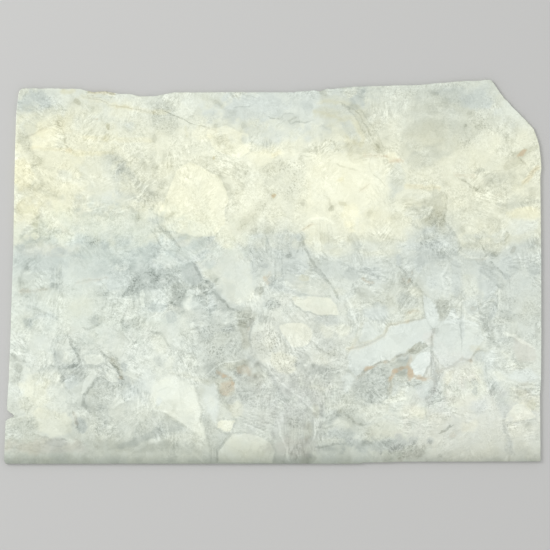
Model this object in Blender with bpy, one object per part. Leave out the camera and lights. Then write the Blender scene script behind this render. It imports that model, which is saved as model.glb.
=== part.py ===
"""A marble slab lying on its sawn back, polished face up.

The slab is one sheet of stone cut from a quarried block. Two parallel saw cuts
made its back and its face. Its edges are the skin of the block: three are
sawn, the upper one is rough, the upper right corner broke away along a curve,
and a small notch was knocked out of the left edge near its foot.

Metres, +Z up. The origin is the middle of the back, +X runs along the length.
"""

import bmesh
import bpy
from mathutils import Vector, noise

MM = 0.001

# Driving dimensions of the stone.
LENGTH = 2.800
THICKNESS = 0.020

# Spacing of the outline's points along each kind of edge.
SAWN_STEP = 0.022
ROUGH_STEP = 0.0085

# How far each kind of edge strays from its line: in plan, and through the thickness.
PLAN_ROUGHNESS = {"sawn": 0.0003, "cut": 0.0, "rough": 0.0012, "broken": 0.0016}
WALL_ROUGHNESS = {"sawn": 0.0006, "cut": 0.0, "rough": 0.0065, "broken": 0.0075}

# Lengths over which the edges' swells, ripples, lumps and ledges come and go.
SWELL_REACH = 0.045
RIPPLE_REACH = 0.017
LUMP_REACH = 0.040
LEDGE_REACH = 0.016

# Shares of the roughness: ripples beside swells, lumps and ledges in the wall, the
# step down onto a ledge and the step out between ledges, and the most it stands out.
RIPPLE_SHARE = 0.8
LUMP_SHARE = 0.55
LEDGE_SHARE = 0.35
STEP_IN = 0.35
STEP_OUT = -0.15
MOST_OUT = 0.25

# Where each random pattern is read, so that no two are alike.
SWELL_LEVEL = 3.0
RIPPLE_LEVEL = 5.0
LEDGE_LEVEL = 7.0
FACE_CHIPS_LEVEL = 11.0
BACK_CHIPS_LEVEL = 23.0

# Heights of the rings round the wall, as shares of the thickness, from back to face.
RING_HEIGHTS = (0.0, 0.13, 0.42, 0.68, 0.88, 1.0)

# Chips along the two arrises: their spacing, the share of the edge left whole, how
# far from the arris they reach as a share of half the thickness, and their depth.
CHIP_SPACING = 0.085
WHOLE_EDGE = 0.28
CHIP_REACH = 0.45
CHIP_GAIN = 2.2
CHIP_DEPTH = {"sawn": 0.0032, "cut": 0.0028, "rough": 0.0045, "broken": 0.0045}

# The outline, clockwise from the lower left corner, in millimetres from the middle.
# Each run has the kind of its edge and the points where its line turns.
OUTLINE = (
    ("sawn", [(-1400, -985), (-1395, -868), (-1392, -780)]),
    (
        "broken",  # the notch
        [(-1379, -768), (-1354, -761), (-1347, -752), (-1356, -740), (-1370, -733)],
    ),
    (
        "sawn",
        [(-1384, -721), (-1384, -692), (-1376, -566), (-1367, -357), (-1360, -120)],
    ),
    ("sawn", [(-1352, 112), (-1344, 581), (-1337, 817), (-1325, 926)]),
    ("broken", [(-1318, 944), (-1305, 953), (-1285, 956)]),
    ("rough", [(-1258, 956), (-1002, 953), (-965, 941), (-937, 935), (-909, 939)]),
    ("rough", [(-872, 939), (-844, 935), (-798, 927), (-733, 924), (-700, 914)]),
    ("rough", [(-621, 914), (-565, 924), (-514, 934), (-171, 935), (109, 934)]),
    ("rough", [(132, 939), (178, 940), (211, 945), (248, 940), (281, 953)]),
    ("rough", [(304, 951), (351, 956), (397, 963), (560, 968), (769, 973)]),
    ("rough", [(839, 980), (952, 990), (1086, 996), (1111, 1001), (1140, 998)]),
    (
        "broken",  # the upper right corner
        [(1155, 979), (1172, 950), (1207, 902), (1224, 889), (1245, 862)],
    ),
    ("broken", [(1284, 825), (1327, 782), (1358, 743), (1379, 695), (1390, 652)]),
    ("broken", [(1397, 600), (1400, 540)]),
    ("sawn", [(1395, 502), (1400, 60), (1400, -409), (1398, -580), (1393, -640)]),
    ("sawn", [(1394, -682), (1395, -822), (1397, -989)]),
    ("sawn", [(653, -991), (606, -994), (467, -995)]),
    ("cut", [(466, -1001), (-1391, -1001)]),
)


def wander(x, y, z, reach):
    """A smooth random value between -1 and 1 that changes over about reach metres."""
    return noise.noise(Vector((x, y, z)) / reach)


def along(start, end, step):
    """Points from start up to, but not onto, end, no further apart than step."""
    count = max(1, round((end - start).length / step))
    return [start.lerp(end, index / count) for index in range(count)]


def outline_points():
    """The line round the slab as (point, kind of edge), with its small wobble."""
    corners = [
        (Vector((x * MM, y * MM, 0.0)), kind) for kind, run in OUTLINE for x, y in run
    ]
    line = []
    for (start, kind), (end, _) in zip(corners, corners[1:] + corners[:1]):
        step = SAWN_STEP if kind in ("sawn", "cut") else ROUGH_STEP
        line += [(point, kind) for point in along(start, end, step)]
    return line


def outward_normals(points):
    """The direction out of the slab at each point of a clockwise line."""
    normals = []
    for index, point in enumerate(points):
        run = points[(index + 1) % len(points)] - points[index - 1]
        normals.append(Vector((-run.y, run.x, 0.0)).normalized())
    return normals


def plan_wobble(point, kind):
    """How far the outline strays outwards at a point, seen from above."""
    swell = wander(point.x, point.y, SWELL_LEVEL, SWELL_REACH)
    ripple = wander(point.x, point.y, RIPPLE_LEVEL, RIPPLE_REACH)
    return PLAN_ROUGHNESS[kind] * (swell + RIPPLE_SHARE * ripple)


def wall_depth(point, height, kind):
    """How far the wall is set back below the face's outline at a height."""
    below = 1.0 - height
    lump = wander(point.x, point.y, height * 0.035, LUMP_REACH)
    ledge = wander(point.x, point.y, height * 0.060 + LEDGE_LEVEL, LEDGE_REACH)
    step = STEP_IN if ledge > 0.05 else STEP_OUT
    depth = LUMP_SHARE * lump + LEDGE_SHARE * ledge + step
    return WALL_ROUGHNESS[kind] * max(-MOST_OUT, depth) * min(1.0, 2.5 * below)


def chip_depth(point, height, kind):
    """How far a chip bites into the wall, on the arris of the face or of the back."""
    from_middle = abs(2.0 * height - 1.0)
    near_arris = max(0.0, from_middle - (1.0 - CHIP_REACH)) / CHIP_REACH
    level = FACE_CHIPS_LEVEL if height > 0.5 else BACK_CHIPS_LEVEL
    bite = wander(point.x, point.y, level, CHIP_SPACING / 2.0) - WHOLE_EDGE
    return CHIP_DEPTH[kind] * max(0.0, bite) * CHIP_GAIN * near_arris**1.5


def slab_rings():
    """Closed rings of points round the wall, from the back up to the face."""
    line = outline_points()
    kinds = [kind for _, kind in line]
    points = [point for point, _ in line]
    normals = outward_normals(points)
    rings = []
    for height in RING_HEIGHTS:
        ring = []
        for point, normal, kind in zip(points, normals, kinds):
            inset = wall_depth(point, height, kind) + chip_depth(point, height, kind)
            place = point + normal * (plan_wobble(point, kind) - inset)
            place.z = height * THICKNESS
            ring.append(place)
        rings.append(ring)
    return rings


def centred(rings):
    """The rings at the stated length, with the middle of their box over the origin."""
    xs = [point.x for ring in rings for point in ring]
    ys = [point.y for ring in rings for point in ring]
    middle = Vector(((min(xs) + max(xs)) / 2, (min(ys) + max(ys)) / 2, 0.0))
    scale = LENGTH / (max(xs) - min(xs))
    size = Vector((scale, scale, 1.0))
    return [[(point - middle) * size for point in ring] for ring in rings]


def slab_mesh(rings):
    """One closed mesh: the wall between the rings, the back and the face."""
    mesh = bpy.data.meshes.new("slab")
    body = bmesh.new()
    loops = [[body.verts.new(point) for point in ring] for ring in rings]
    for lower, upper in zip(loops, loops[1:]):
        for index in range(len(lower)):
            after = (index + 1) % len(lower)
            body.faces.new((lower[index], upper[index], upper[after], lower[after]))
    body.faces.new(loops[0])
    body.faces.new(reversed(loops[-1]))
    bmesh.ops.triangulate(body, faces=body.faces[:], quad_method="SHORT_EDGE")
    bmesh.ops.recalc_face_normals(body, faces=body.faces[:])
    body.to_mesh(mesh)
    body.free()
    return mesh


def marble_material():
    """Cream and grey marble with a polished face."""
    material = bpy.data.materials.new("marble")
    material.use_nodes = True
    shader = material.node_tree.nodes["Principled BSDF"]
    shader.inputs["Base Color"].default_value = (0.78, 0.80, 0.72, 1.0)
    shader.inputs["Roughness"].default_value = 0.18
    shader.inputs["Metallic"].default_value = 0.0
    return material


def main():
    for old in list(bpy.data.objects):
        bpy.data.objects.remove(old, do_unlink=True)
    slab = bpy.data.objects.new("slab", slab_mesh(centred(slab_rings())))
    slab.data.materials.append(marble_material())
    bpy.context.scene.collection.objects.link(slab)


main()
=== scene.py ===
# %% [markdown]
# A marble slab lying on its sawn back, seen from straight above.
# The slab is one sheet of stone, so the scene has one piece, `slab_stone`. It takes
# the place of the plain solid that the frame brings, keeps its outline and its
# thickness, and adds what the solid leaves out: fractured edges, eased arrises and
# the pattern of the marble, which runs right through from the face to the back.

# %% The frame
import math

import bpy
import numpy as np
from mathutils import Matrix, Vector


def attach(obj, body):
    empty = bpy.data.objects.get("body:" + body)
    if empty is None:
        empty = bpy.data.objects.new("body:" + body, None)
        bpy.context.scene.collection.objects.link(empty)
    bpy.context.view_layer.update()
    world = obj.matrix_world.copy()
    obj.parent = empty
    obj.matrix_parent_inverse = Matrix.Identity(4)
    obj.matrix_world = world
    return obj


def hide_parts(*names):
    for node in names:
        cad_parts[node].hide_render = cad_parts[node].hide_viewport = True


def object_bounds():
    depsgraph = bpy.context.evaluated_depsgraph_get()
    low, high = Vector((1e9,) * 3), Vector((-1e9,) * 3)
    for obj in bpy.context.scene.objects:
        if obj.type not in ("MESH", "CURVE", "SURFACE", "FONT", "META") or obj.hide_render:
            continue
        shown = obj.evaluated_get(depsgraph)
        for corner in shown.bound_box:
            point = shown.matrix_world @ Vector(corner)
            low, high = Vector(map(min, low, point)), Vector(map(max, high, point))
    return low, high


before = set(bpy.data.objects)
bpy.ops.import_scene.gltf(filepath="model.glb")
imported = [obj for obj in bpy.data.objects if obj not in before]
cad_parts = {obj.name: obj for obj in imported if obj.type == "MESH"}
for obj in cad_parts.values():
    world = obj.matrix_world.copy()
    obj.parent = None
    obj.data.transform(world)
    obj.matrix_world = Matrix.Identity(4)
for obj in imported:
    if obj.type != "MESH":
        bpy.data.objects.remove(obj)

cad_low, cad_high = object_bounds()
print("CAD box", list(cad_low), list(cad_high))

# %% [markdown]
# Every size below comes from the frame. The slab lies on z = 0, so its thickness is
# the height of its face. A photograph-like plan is used for the pattern: one pixel
# of a 550 pixel picture, in which the slab spans 537.7 pixels, is about 5.2 mm.
# Places in the pattern are given in those pixels, x to the right and y downwards,
# and two small functions turn metres into pixels and back.

# %% Sizes and places
LENGTH = cad_high[0] - cad_low[0]
WIDTH = cad_high[1] - cad_low[1]
THICKNESS = cad_high[2] - cad_low[2]
PICTURE_SIDE = 550
SLAB_MIDDLE_PX = (272.85, 271.5)
SLAB_LENGTH_PX = 537.7
PIXEL = LENGTH / SLAB_LENGTH_PX


def to_metres(x, y):
    """A place in the picture as metres in the slab's frame."""
    return (x - SLAB_MIDDLE_PX[0]) * PIXEL, (SLAB_MIDDLE_PX[1] - y) * PIXEL


def to_pixels(x, y):
    """Places in metres as pixels of the picture."""
    return x / PIXEL + SLAB_MIDDLE_PX[0], SLAB_MIDDLE_PX[1] - y / PIXEL


print(f"slab {LENGTH:.3f} x {WIDTH:.3f} x {THICKNESS:.3f} m, a pixel is {PIXEL * 1000:.2f} mm")

# %% [markdown]
# The edge of a slab is the skin of the quarried block: sawn on three sides, rough
# above, broken at one corner. The solid from the frame already has that line, so its
# wall is the blank here. Its triangles come loose and are merged first. The flat
# back and face are cut away, because each is put back as a fine sheet of squares
# that can carry the marble's pattern.

# %% The wall
def only(obj):
    """Makes obj the one selected and active object."""
    bpy.ops.object.select_all(action="DESELECT")
    obj.select_set(True)
    bpy.context.view_layer.objects.active = obj


def select_faces(obj, wanted):
    """Selects the faces that wanted(face) picks, and nothing else, from object mode."""
    mesh = obj.data
    mesh.vertices.foreach_set("select", [False] * len(mesh.vertices))
    mesh.edges.foreach_set("select", [False] * len(mesh.edges))
    mesh.polygons.foreach_set("select", [bool(wanted(face)) for face in mesh.polygons])


def vertex_places(obj):
    """The vertices of obj as an array of x, y, z rows."""
    flat = np.empty(len(obj.data.vertices) * 3, np.float32)
    obj.data.vertices.foreach_get("co", flat)
    return flat.reshape(-1, 3).astype(float)


MERGE_GAP = 0.00002
LEVEL = 0.999

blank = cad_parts["slab"]
stone = bpy.data.objects.new("slab_stone", blank.data.copy())
bpy.context.scene.collection.objects.link(stone)
stone.data.materials.clear()
only(stone)
bpy.ops.object.mode_set(mode="EDIT")
bpy.ops.mesh.select_all(action="SELECT")
bpy.ops.mesh.remove_doubles(threshold=MERGE_GAP)
bpy.ops.object.mode_set(mode="OBJECT")
select_faces(stone, lambda face: abs(face.normal.z) > LEVEL)
bpy.ops.object.mode_set(mode="EDIT")
bpy.ops.mesh.select_mode(type="FACE")
bpy.ops.mesh.delete(type="FACE")
bpy.ops.mesh.select_all(action="SELECT")
bpy.ops.mesh.subdivide(number_cuts=1)
bpy.ops.object.mode_set(mode="OBJECT")
print("wall", len(stone.data.polygons), "faces")

# %% [markdown]
# The polished face is flat, so nothing in its shape needs many squares, but the
# pattern does: it is worked out at the corners of the squares and shaded smoothly
# between them. A grid primitive is laid over the slab and its squares near and past
# the edge are deleted. Joined to the wall, the gap between the grid's rim and the
# wall's rim is closed with the fill operator, which adds triangles and no points.
# The back gets the same with larger squares. A boolean could trim the grid too, but
# it would take far longer and leave slivers.

# %% The face and the back
FACE_PITCH = 0.0090
BACK_PITCH = 0.020
RIM_MARGIN = 0.45
SAME_HEIGHT = 0.0001


def open_edges(obj, height):
    """The edges at a height that only one face uses, as pairs of points."""
    uses = {}
    for face in obj.data.polygons:
        for key in face.edge_keys:
            uses[key] = uses.get(key, 0) + 1
    points = obj.data.vertices
    rims = [key for key, count in uses.items() if count == 1]
    return [key for key in rims if all(abs(points[v].co.z - height) < SAME_HEIGHT for v in key)]


def rim_loop(obj, height):
    """The points of obj's open rim at a height, in order round the slab."""
    edges = {}
    for a, b in open_edges(obj, height):
        edges.setdefault(a, []).append(b)
        edges.setdefault(b, []).append(a)
    places = obj.data.vertices
    start = next(iter(edges))
    loop, last, here = [start], None, start
    while True:
        after = next(v for v in edges[here] if v != last)
        if after == start:
            return np.array([places[v].co[:2] for v in loop])
        loop.append(after)
        last, here = here, after


def inside_depth(x, y, loop):
    """How far points lie inside a closed line, and less than 0 outside it."""
    nearest = np.full(x.shape, np.inf)
    crossings = np.zeros(x.shape, int)
    for (ax, ay), (bx, by) in zip(loop, np.roll(loop, -1, axis=0)):
        run_x, run_y = bx - ax, by - ay
        length = max(run_x**2 + run_y**2, 1e-12)
        share = np.clip(((x - ax) * run_x + (y - ay) * run_y) / length, 0, 1)
        gap = (x - ax - share * run_x) ** 2 + (y - ay - share * run_y) ** 2
        nearest = np.minimum(nearest, gap)
        if run_y != 0:
            spans = (ay > y) != (by > y)
            crossings += spans & (x < ax + (y - ay) * run_x / run_y)
    return np.sqrt(nearest) * np.where(crossings % 2 == 1, 1, -1)


def lay_sheet(name, pitch, height, upwards):
    """A grid of squares that stops just inside the wall's rim at this height."""
    columns, rows = round(LENGTH / pitch), round(WIDTH / pitch)
    bpy.ops.object.select_all(action="DESELECT")
    bpy.ops.mesh.primitive_grid_add(
        x_subdivisions=columns, y_subdivisions=rows, size=1.0, location=(0, 0, height)
    )
    sheet = bpy.context.active_object
    sheet.name = name
    sheet.scale = (LENGTH, WIDTH, 1.0)
    bpy.ops.object.transform_apply(location=True, rotation=True, scale=True)
    rim = rim_loop(stone, height)
    places = vertex_places(sheet)
    depth = inside_depth(places[:, 0], places[:, 1], rim)
    keep = depth > RIM_MARGIN * pitch
    select_faces(sheet, lambda face: not all(keep[v] for v in face.vertices))
    bpy.ops.object.mode_set(mode="EDIT")
    bpy.ops.mesh.delete(type="FACE")
    if not upwards:
        bpy.ops.mesh.select_all(action="SELECT")
        bpy.ops.mesh.flip_normals()
    bpy.ops.object.mode_set(mode="OBJECT")
    print(name, len(sheet.data.polygons), "squares")
    return sheet


face_sheet = lay_sheet("face_sheet", FACE_PITCH, THICKNESS, True)
back_sheet = lay_sheet("back_sheet", BACK_PITCH, 0.0, False)

# %% [markdown]
# The wall and the two sheets are still three shells with open rims. Joined into one
# object, they are closed by picking the edges that only one face uses, which are the
# rims, and filling between them. The normals are then made to point outwards, so
# that the slab is a closed solid skin like the real one.

# %% Closing the slab
def select_edges(obj, wanted):
    """Selects the edges whose pair of points is in wanted, and says how many."""
    select_faces(obj, lambda face: False)
    wanted = set(wanted)
    for edge in obj.data.edges:
        if edge.key in wanted:
            edge.select = True
            for v in edge.vertices:
                obj.data.vertices[v].select = True
    return len(wanted)


def close_gap(obj, height):
    """Fills between the wall's rim and the sheet's rim, which lie at one height."""
    only(obj)
    select_edges(obj, open_edges(obj, height))
    bpy.ops.object.mode_set(mode="EDIT")
    bpy.ops.mesh.select_mode(type="EDGE")
    bpy.ops.mesh.fill(use_beauty=True)
    bpy.ops.object.mode_set(mode="OBJECT")


bpy.ops.object.select_all(action="DESELECT")
for part in (face_sheet, back_sheet, stone):
    part.select_set(True)
bpy.context.view_layer.objects.active = stone
bpy.ops.object.join()
for height in (THICKNESS, 0.0):
    close_gap(stone, height)
only(stone)
bpy.ops.object.mode_set(mode="EDIT")
bpy.ops.mesh.select_all(action="SELECT")
bpy.ops.mesh.normals_make_consistent(inside=False)
bpy.ops.object.mode_set(mode="OBJECT")
triangles = sum(len(face.vertices) - 2 for face in stone.data.polygons)
print("closed slab", len(stone.data.polygons), "faces,", triangles, "triangles")

# %% [markdown]
# A quarried edge isn't as smooth as the blank's facets: marble breaks into sugary
# grains and small ledges. A Displace modifier with a clouds texture moves the wall a
# millimetre in and out. A vertex group holds it to the rough stretches and lets it
# fade out at both rims, so that the face and the back stay flat. A Bevel modifier
# could ease the arrises, but it would round the whole mesh, so only the edges where
# the wall meets the flat faces are selected and bevelled in edit mode.

# %% The broken edge and its arrises
FRACTURE_DEPTH = 0.0028
FRACTURE_GRAIN = 0.009
SAWN_SHARE = 0.12
ARRIS = 0.0008
SMOOTH_BELOW = math.radians(32)
ROUGH_ABOVE_Y = 0.900
BROKEN_CORNER = (1.130, 0.500)
NOTCH = (-1.330, -0.792, -0.712)


def roughness_at(x, y):
    """1 where the wall is broken stone, and a small share where it was sawn."""
    corner = (x > BROKEN_CORNER[0]) & (y > BROKEN_CORNER[1])
    notch = (x < NOTCH[0]) & (y > NOTCH[1]) & (y < NOTCH[2])
    return np.where((y > ROUGH_ABOVE_Y) | corner | notch, 1.0, SAWN_SHARE)


FADE_GAIN = 1.6
LEAST_SHARE = 0.01

fracture = stone.vertex_groups.new(name="fracture")
for index, (x, y, z) in enumerate(vertex_places(stone)):
    share = 4 * z / THICKNESS * (1 - z / THICKNESS)
    if share > LEAST_SHARE:
        weight = min(1.0, FADE_GAIN * share) * float(roughness_at(x, y))
        fracture.add([index], weight, "REPLACE")
grit = bpy.data.textures.new("fracture_grain", "CLOUDS")
grit.noise_scale = FRACTURE_GRAIN
grit.noise_depth = 3
rough = stone.modifiers.new("rough", "DISPLACE")
rough.texture = grit
rough.texture_coords = "LOCAL"
rough.vertex_group = fracture.name
rough.strength = FRACTURE_DEPTH
rough.mid_level = 0.5
only(stone)
bpy.ops.object.modifier_apply(modifier=rough.name)


def arrises(obj):
    """The edges between the wall and the flat face or back, as pairs of points."""
    flat, wall = set(), set()
    for face in obj.data.polygons:
        (flat if abs(face.normal.z) > LEVEL else wall).update(face.edge_keys)
    return flat & wall


count = select_edges(stone, arrises(stone))
bpy.ops.object.mode_set(mode="EDIT")
bpy.ops.mesh.select_mode(type="EDGE")
bpy.ops.mesh.bevel(offset=ARRIS, segments=2, clamp_overlap=True)
bpy.ops.object.mode_set(mode="OBJECT")
bpy.ops.object.shade_smooth_by_angle(angle=SMOOTH_BELOW)
triangles = sum(len(face.vertices) - 2 for face in stone.data.polygons)
print("bevelled", count, "edges,", triangles, "triangles")

# %% [markdown]
# Marble of this kind is a breccia: pale broken lumps, the clasts, lie in a greyer
# ground, crossed by veins and stained yellow and rust where iron got in. Such a
# pattern could be one noise texture, but then no lump would be where it is on this
# slab. Instead the pattern is drawn from a few kinds of stroke, at the points of the
# mesh, and kept there as attributes that the material reads.
# Tones are in steps of 1 in 255 of display brightness. Yellow says how many such
# steps the blue lies under the green: about 10 in the cool grey, 25 in the cream.

# %% The canvas and its noise
STEP = 1 / 255
GROUND_TONE = 226
LATTICE = 256
LATTICE_START = 40
FAR = 99.0

places = vertex_places(stone)
plan_x, plan_y = to_pixels(places[:, 0], places[:, 1])


def eased(share):
    """0 to 1 with soft ends."""
    share = np.clip(share, 0, 1)
    return share * share * (3 - 2 * share)


def drift(reach, seed):
    """A smooth random value from -1 to 1 at every point, changing over reach pixels."""
    lattice = np.random.default_rng(seed).uniform(-1, 1, (LATTICE, LATTICE))
    u, v = plan_x / reach + LATTICE_START, plan_y / reach + LATTICE_START
    i, j = np.floor(u).astype(int), np.floor(v).astype(int)
    s, t = eased(u - i), eased(v - j)
    i, j, after_i, after_j = (n % LATTICE for n in (i, j, i + 1, j + 1))
    low = lattice[i, j] * (1 - s) + lattice[after_i, j] * s
    high = lattice[i, after_j] * (1 - s) + lattice[after_i, after_j] * s
    return low * (1 - t) + high * t


warped_x = plan_x + 1.0 * drift(13, 1) + 0.9 * drift(5, 2) + 0.5 * drift(2.5, 3)
warped_y = plan_y + 1.0 * drift(13, 4) + 0.9 * drift(5, 5) + 0.5 * drift(2.5, 6)
ragged_noise = 0.6 * drift(7, 7) + 0.4 * drift(3, 8)
starts = dict.fromkeys(("tone", "yellow", "warmth", "rust", "speckle", "calm"), 0.0)
for name in ("clast", "chip"):
    starts.update({name + "_depth": -FAR, name + "_tone": 0.0, name + "_yellow": 0.0})
for name in ("vein", "hair"):
    starts.update({name + "_side": FAR, name + "_mark": 0.0})
marble = {name: np.full(len(plan_x), start) for name, start in starts.items()}
print(len(marble), "attributes at", len(plan_x), "points")

# %% [markdown]
# A few strokes draw the pattern, and the soft ones come first. A cloud is a soft
# ragged oval, a band a soft line and a patch a soft-edged area. Each adds its changes
# to what is there already, as a glaze does, so their order doesn't matter. Most are
# given as rows of numbers, in pixels and in steps of tone, and drawn in a loop.

# %% Soft strokes
CLOUD_END, CLOUD_FADE = 1.25, 0.6
BAND_END, BAND_FADE = 1.35, 0.8
PATCH_WOBBLE = 2.0


def change(mask, changes):
    """Adds each named change, times the mask, to the pattern."""
    for name, amount in changes.items():
        marble[name] += mask * amount


def pairs(run):
    """The points of a run of numbers: x, y, x, y and so on."""
    return list(zip(run[::2], run[1::2]))


def cloud(x, y, wide, high, turn=0, ragged=0.5, **changes):
    """A soft oval: its middle, half sizes in pixels and its turn to the left in degrees."""
    angle = math.radians(turn)
    across, down = warped_x - x, warped_y - y
    u = (across * math.cos(angle) - down * math.sin(angle)) / wide
    v = (across * math.sin(angle) + down * math.cos(angle)) / high
    reach = np.sqrt(u * u + v * v) + ragged * ragged_noise
    change(eased((CLOUD_END - reach) / CLOUD_FADE), changes)


def clouds(*rows, **shared):
    """A cloud for each row: x, y, wide, high, tone, yellow, speckle, turn and calm."""
    for row in rows:
        x, y, wide, high, tone, yellow, speckle, turn, calm = (*row, 0, 0, 0, 0, 0)[:9]
        changes = {"tone": tone, "yellow": yellow, "speckle": speckle, "calm": calm, **shared}
        cloud(x, y, wide, high, turn, **changes)


def line_gaps(points, x, y):
    """The distance from a line through points, and on which side of it, at x and y."""
    gap = np.full(x.shape, np.inf)
    side = np.ones(x.shape)
    for (ax, ay), (bx, by) in zip(points, points[1:]):
        run_x, run_y = bx - ax, by - ay
        share = ((x - ax) * run_x + (y - ay) * run_y) / (run_x**2 + run_y**2)
        share = np.clip(share, 0, 1)
        off_x, off_y = x - ax - share * run_x, y - ay - share * run_y
        here = np.hypot(off_x, off_y)
        nearer = here < gap
        gap = np.where(nearer, here, gap)
        side = np.where(nearer, np.sign(run_x * off_y - run_y * off_x), side)
    return gap, np.where(side == 0, 1, side)


def band(points, width, ragged=0.5, **changes):
    """A soft line through points, as wide as width pixels."""
    gap, _ = line_gaps(points, warped_x, warped_y)
    reach = 2 * gap / width + ragged * ragged_noise
    change(eased((BAND_END - reach) / BAND_FADE), changes)


def bands(*rows, **shared):
    """A band for each row: width, tone, yellow, rust, then x and y of its points."""
    for width, tone, yellow, rust, *run in rows:
        band(pairs(run), width, tone=tone, yellow=yellow, rust=rust, **shared)


def patch(points, soft, **changes):
    """A patch with a soft uneven edge, soft pixels wide, inside a closed line."""
    depth = inside_depth(warped_x, warped_y, np.array(points, float))
    change(eased(0.5 + (depth + PATCH_WOBBLE * ragged_noise) / soft), changes)


def patches(*rows, **shared):
    """A patch for each row: soft, tone, yellow, then x and y of its points."""
    for soft, tone, yellow, *run in rows:
        patch(pairs(run), soft, tone=tone, yellow=yellow, **shared)


print("soft strokes: cloud, band and patch")

# %% [markdown]
# The crisp strokes are the lumps and the lines. A clast is a lump with a crisp
# outline, a chip and a spot are small ones that may lie on it, and a vein or a hair
# is a thin line. For these the mesh holds the distance to the outline or the line,
# not a colour: distances blend well between two points of a mesh, and the material
# then cuts them off sharply. Where two strokes of a kind meet, the nearer one wins.

# %% Crisp strokes
SPOT_CORNERS = 9
SPOT_SPREAD = 0.7


def clast(points, tone, yellow=0, layer="clast"):
    """A lump inside the closed line through points, so many steps from its ground."""
    depth = inside_depth(warped_x, warped_y, np.array(points, float))
    here = depth > marble[layer + "_depth"]
    for part, value in (("_depth", depth), ("_tone", tone), ("_yellow", yellow)):
        marble[layer + part] = np.where(here, value, marble[layer + part])


def clasts(*rows, layer="clast"):
    """A clast for each row: tone, yellow, then x and y of its points."""
    for tone, yellow, *run in rows:
        clast(pairs(run), tone, yellow, layer)


def chips(*rows):
    """Small lumps, which may lie on large ones."""
    clasts(*rows, layer="chip")


def spot(x, y, wide, high, tone, yellow=0, turn=0, **changes):
    """A small crisp oval lump with an uneven outline, and soft changes around it."""
    uneven = np.random.default_rng(int(7 * x + 13 * y)).uniform(0.75, 1.2, SPOT_CORNERS)
    angles = np.linspace(0, 2 * math.pi, SPOT_CORNERS, endpoint=False)
    across = (wide + SPOT_SPREAD) * uneven * np.cos(angles)
    up = (high + SPOT_SPREAD) * uneven * np.sin(angles)
    turned_by = math.radians(turn)
    run_x = across * math.cos(turned_by) + up * math.sin(turned_by)
    run_y = across * math.sin(turned_by) - up * math.cos(turned_by)
    clast(np.column_stack([x + run_x, y - run_y]), tone, yellow, "chip")
    if changes:
        cloud(x, y, wide, high, turn, **changes)


def spots(*rows, **shared):
    """A spot for each row: x, y, wide, high, tone, then yellow, rust and turn."""
    for row in rows:
        x, y, wide, high, tone, yellow, rust, turn = (*row, 0, 0, 0)[:8]
        spot(x, y, wide, high, tone, yellow, turn, rust=rust, **shared)


def vein(points, width, tone, layer="vein", **changes):
    """A crisp line through points, width pixels wide and so many steps darker."""
    gap, side = line_gaps(points, warped_x, warped_y)
    here = gap / width < np.abs(marble[layer + "_side"])
    marble[layer + "_side"] = np.where(here, side * gap / width, marble[layer + "_side"])
    near = eased(1.8 - gap / (width + 1.2))
    marble[layer + "_mark"] = np.where(here, tone * near, marble[layer + "_mark"])
    change(eased(2.0 - gap / 1.6), changes)


def veins(*rows, layer="vein", **shared):
    """A vein for each row: width, tone, yellow, rust, then x and y of its points."""
    for width, tone, yellow, rust, *run in rows:
        vein(pairs(run), width, tone, layer, yellow=yellow, rust=rust, **shared)


def hair(points, width, tone, **changes):
    """A second set of thin lines, which may cross the veins."""
    vein(points, width, tone, "hair", **changes)


def hairs(*rows, **shared):
    """A hair for each row, which is as a row of veins."""
    veins(*rows, layer="hair", **shared)


def report(title):
    """Prints the mean tone and the share of points in a crisp stroke so far."""
    crisp = marble["clast_depth"] > 0
    crisp |= marble["chip_depth"] > 0
    crisp |= np.abs(marble["vein_side"]) < 0.5
    crisp |= np.abs(marble["hair_side"]) < 0.5
    print(f"{title}: mean tone {marble['tone'].mean():.1f}, {crisp.mean():.1%} crisp")


report("before the first stroke")

# %% [markdown]
# First the ground. The stone is cream, and cooler and greyer below the middle. A broad
# band above the middle is painted brighter and warmer, as painted light, and the face
# is painted darker along its lower edge, as painted shade.
# Large soft clouds then set the light and dark parts of the slab.

# %% The ground
# Tone and yellow by height: above a wavy edge near y 240 the band is painted brighter and warmer,
# as painted light, and the tone falls at the lower edge as painted shade.
BAND_Y = [84, 100, 120, 145, 165, 218, 234, 244, 260, 300, 380, 430, 446, 455, 463]
TONE_WITH_PAINTED_LIGHT_AND_SHADE = [222, 228, 233, 237, 239, 237, 231, 224, 224, 230, 233, 227, 218, 205, 172]
YELLOW_WITH_PAINTED_WARM_LIGHT = [13, 15, 18, 22, 23, 22, 18, 11, 9, 12, 12, 13, 13, 13, 12]
# The wavy lower edge of the painted band of light, x and y in pixels.
PAINTED_LIGHT_EDGE_X = [15, 60, 100, 140, 165, 215, 225, 245, 258, 300, 312, 345]
PAINTED_LIGHT_EDGE_X += [400, 410, 424, 450, 462, 500, 514, 540]
PAINTED_LIGHT_EDGE_Y = [240, 239, 234, 240, 233, 235, 244, 241, 231, 232, 254, 254]
PAINTED_LIGHT_EDGE_Y += [253, 234, 226, 232, 249, 249, 236, 236]
uneven = np.interp(warped_x, PAINTED_LIGHT_EDGE_X, PAINTED_LIGHT_EDGE_Y) - 236
uneven += 5 * drift(16, 9) + 4 * drift(7, 10)
near_painted_light_edge = np.exp(-(((warped_y - 240) / 32) ** 2))
band_y = warped_y - uneven * near_painted_light_edge
marble["tone"] += np.interp(band_y, BAND_Y, TONE_WITH_PAINTED_LIGHT_AND_SHADE)
marble["yellow"] += np.interp(band_y, BAND_Y, YELLOW_WITH_PAINTED_WARM_LIGHT)
marble["calm"] += np.interp(warped_y, [436, 450], [0, 0.8])
# Painted shade: left of x 350 the lower edge is painted darker still.
marble["tone"] += np.interp(warped_y, [436, 446], [0, -8]) * (warped_x < 350)
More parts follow.
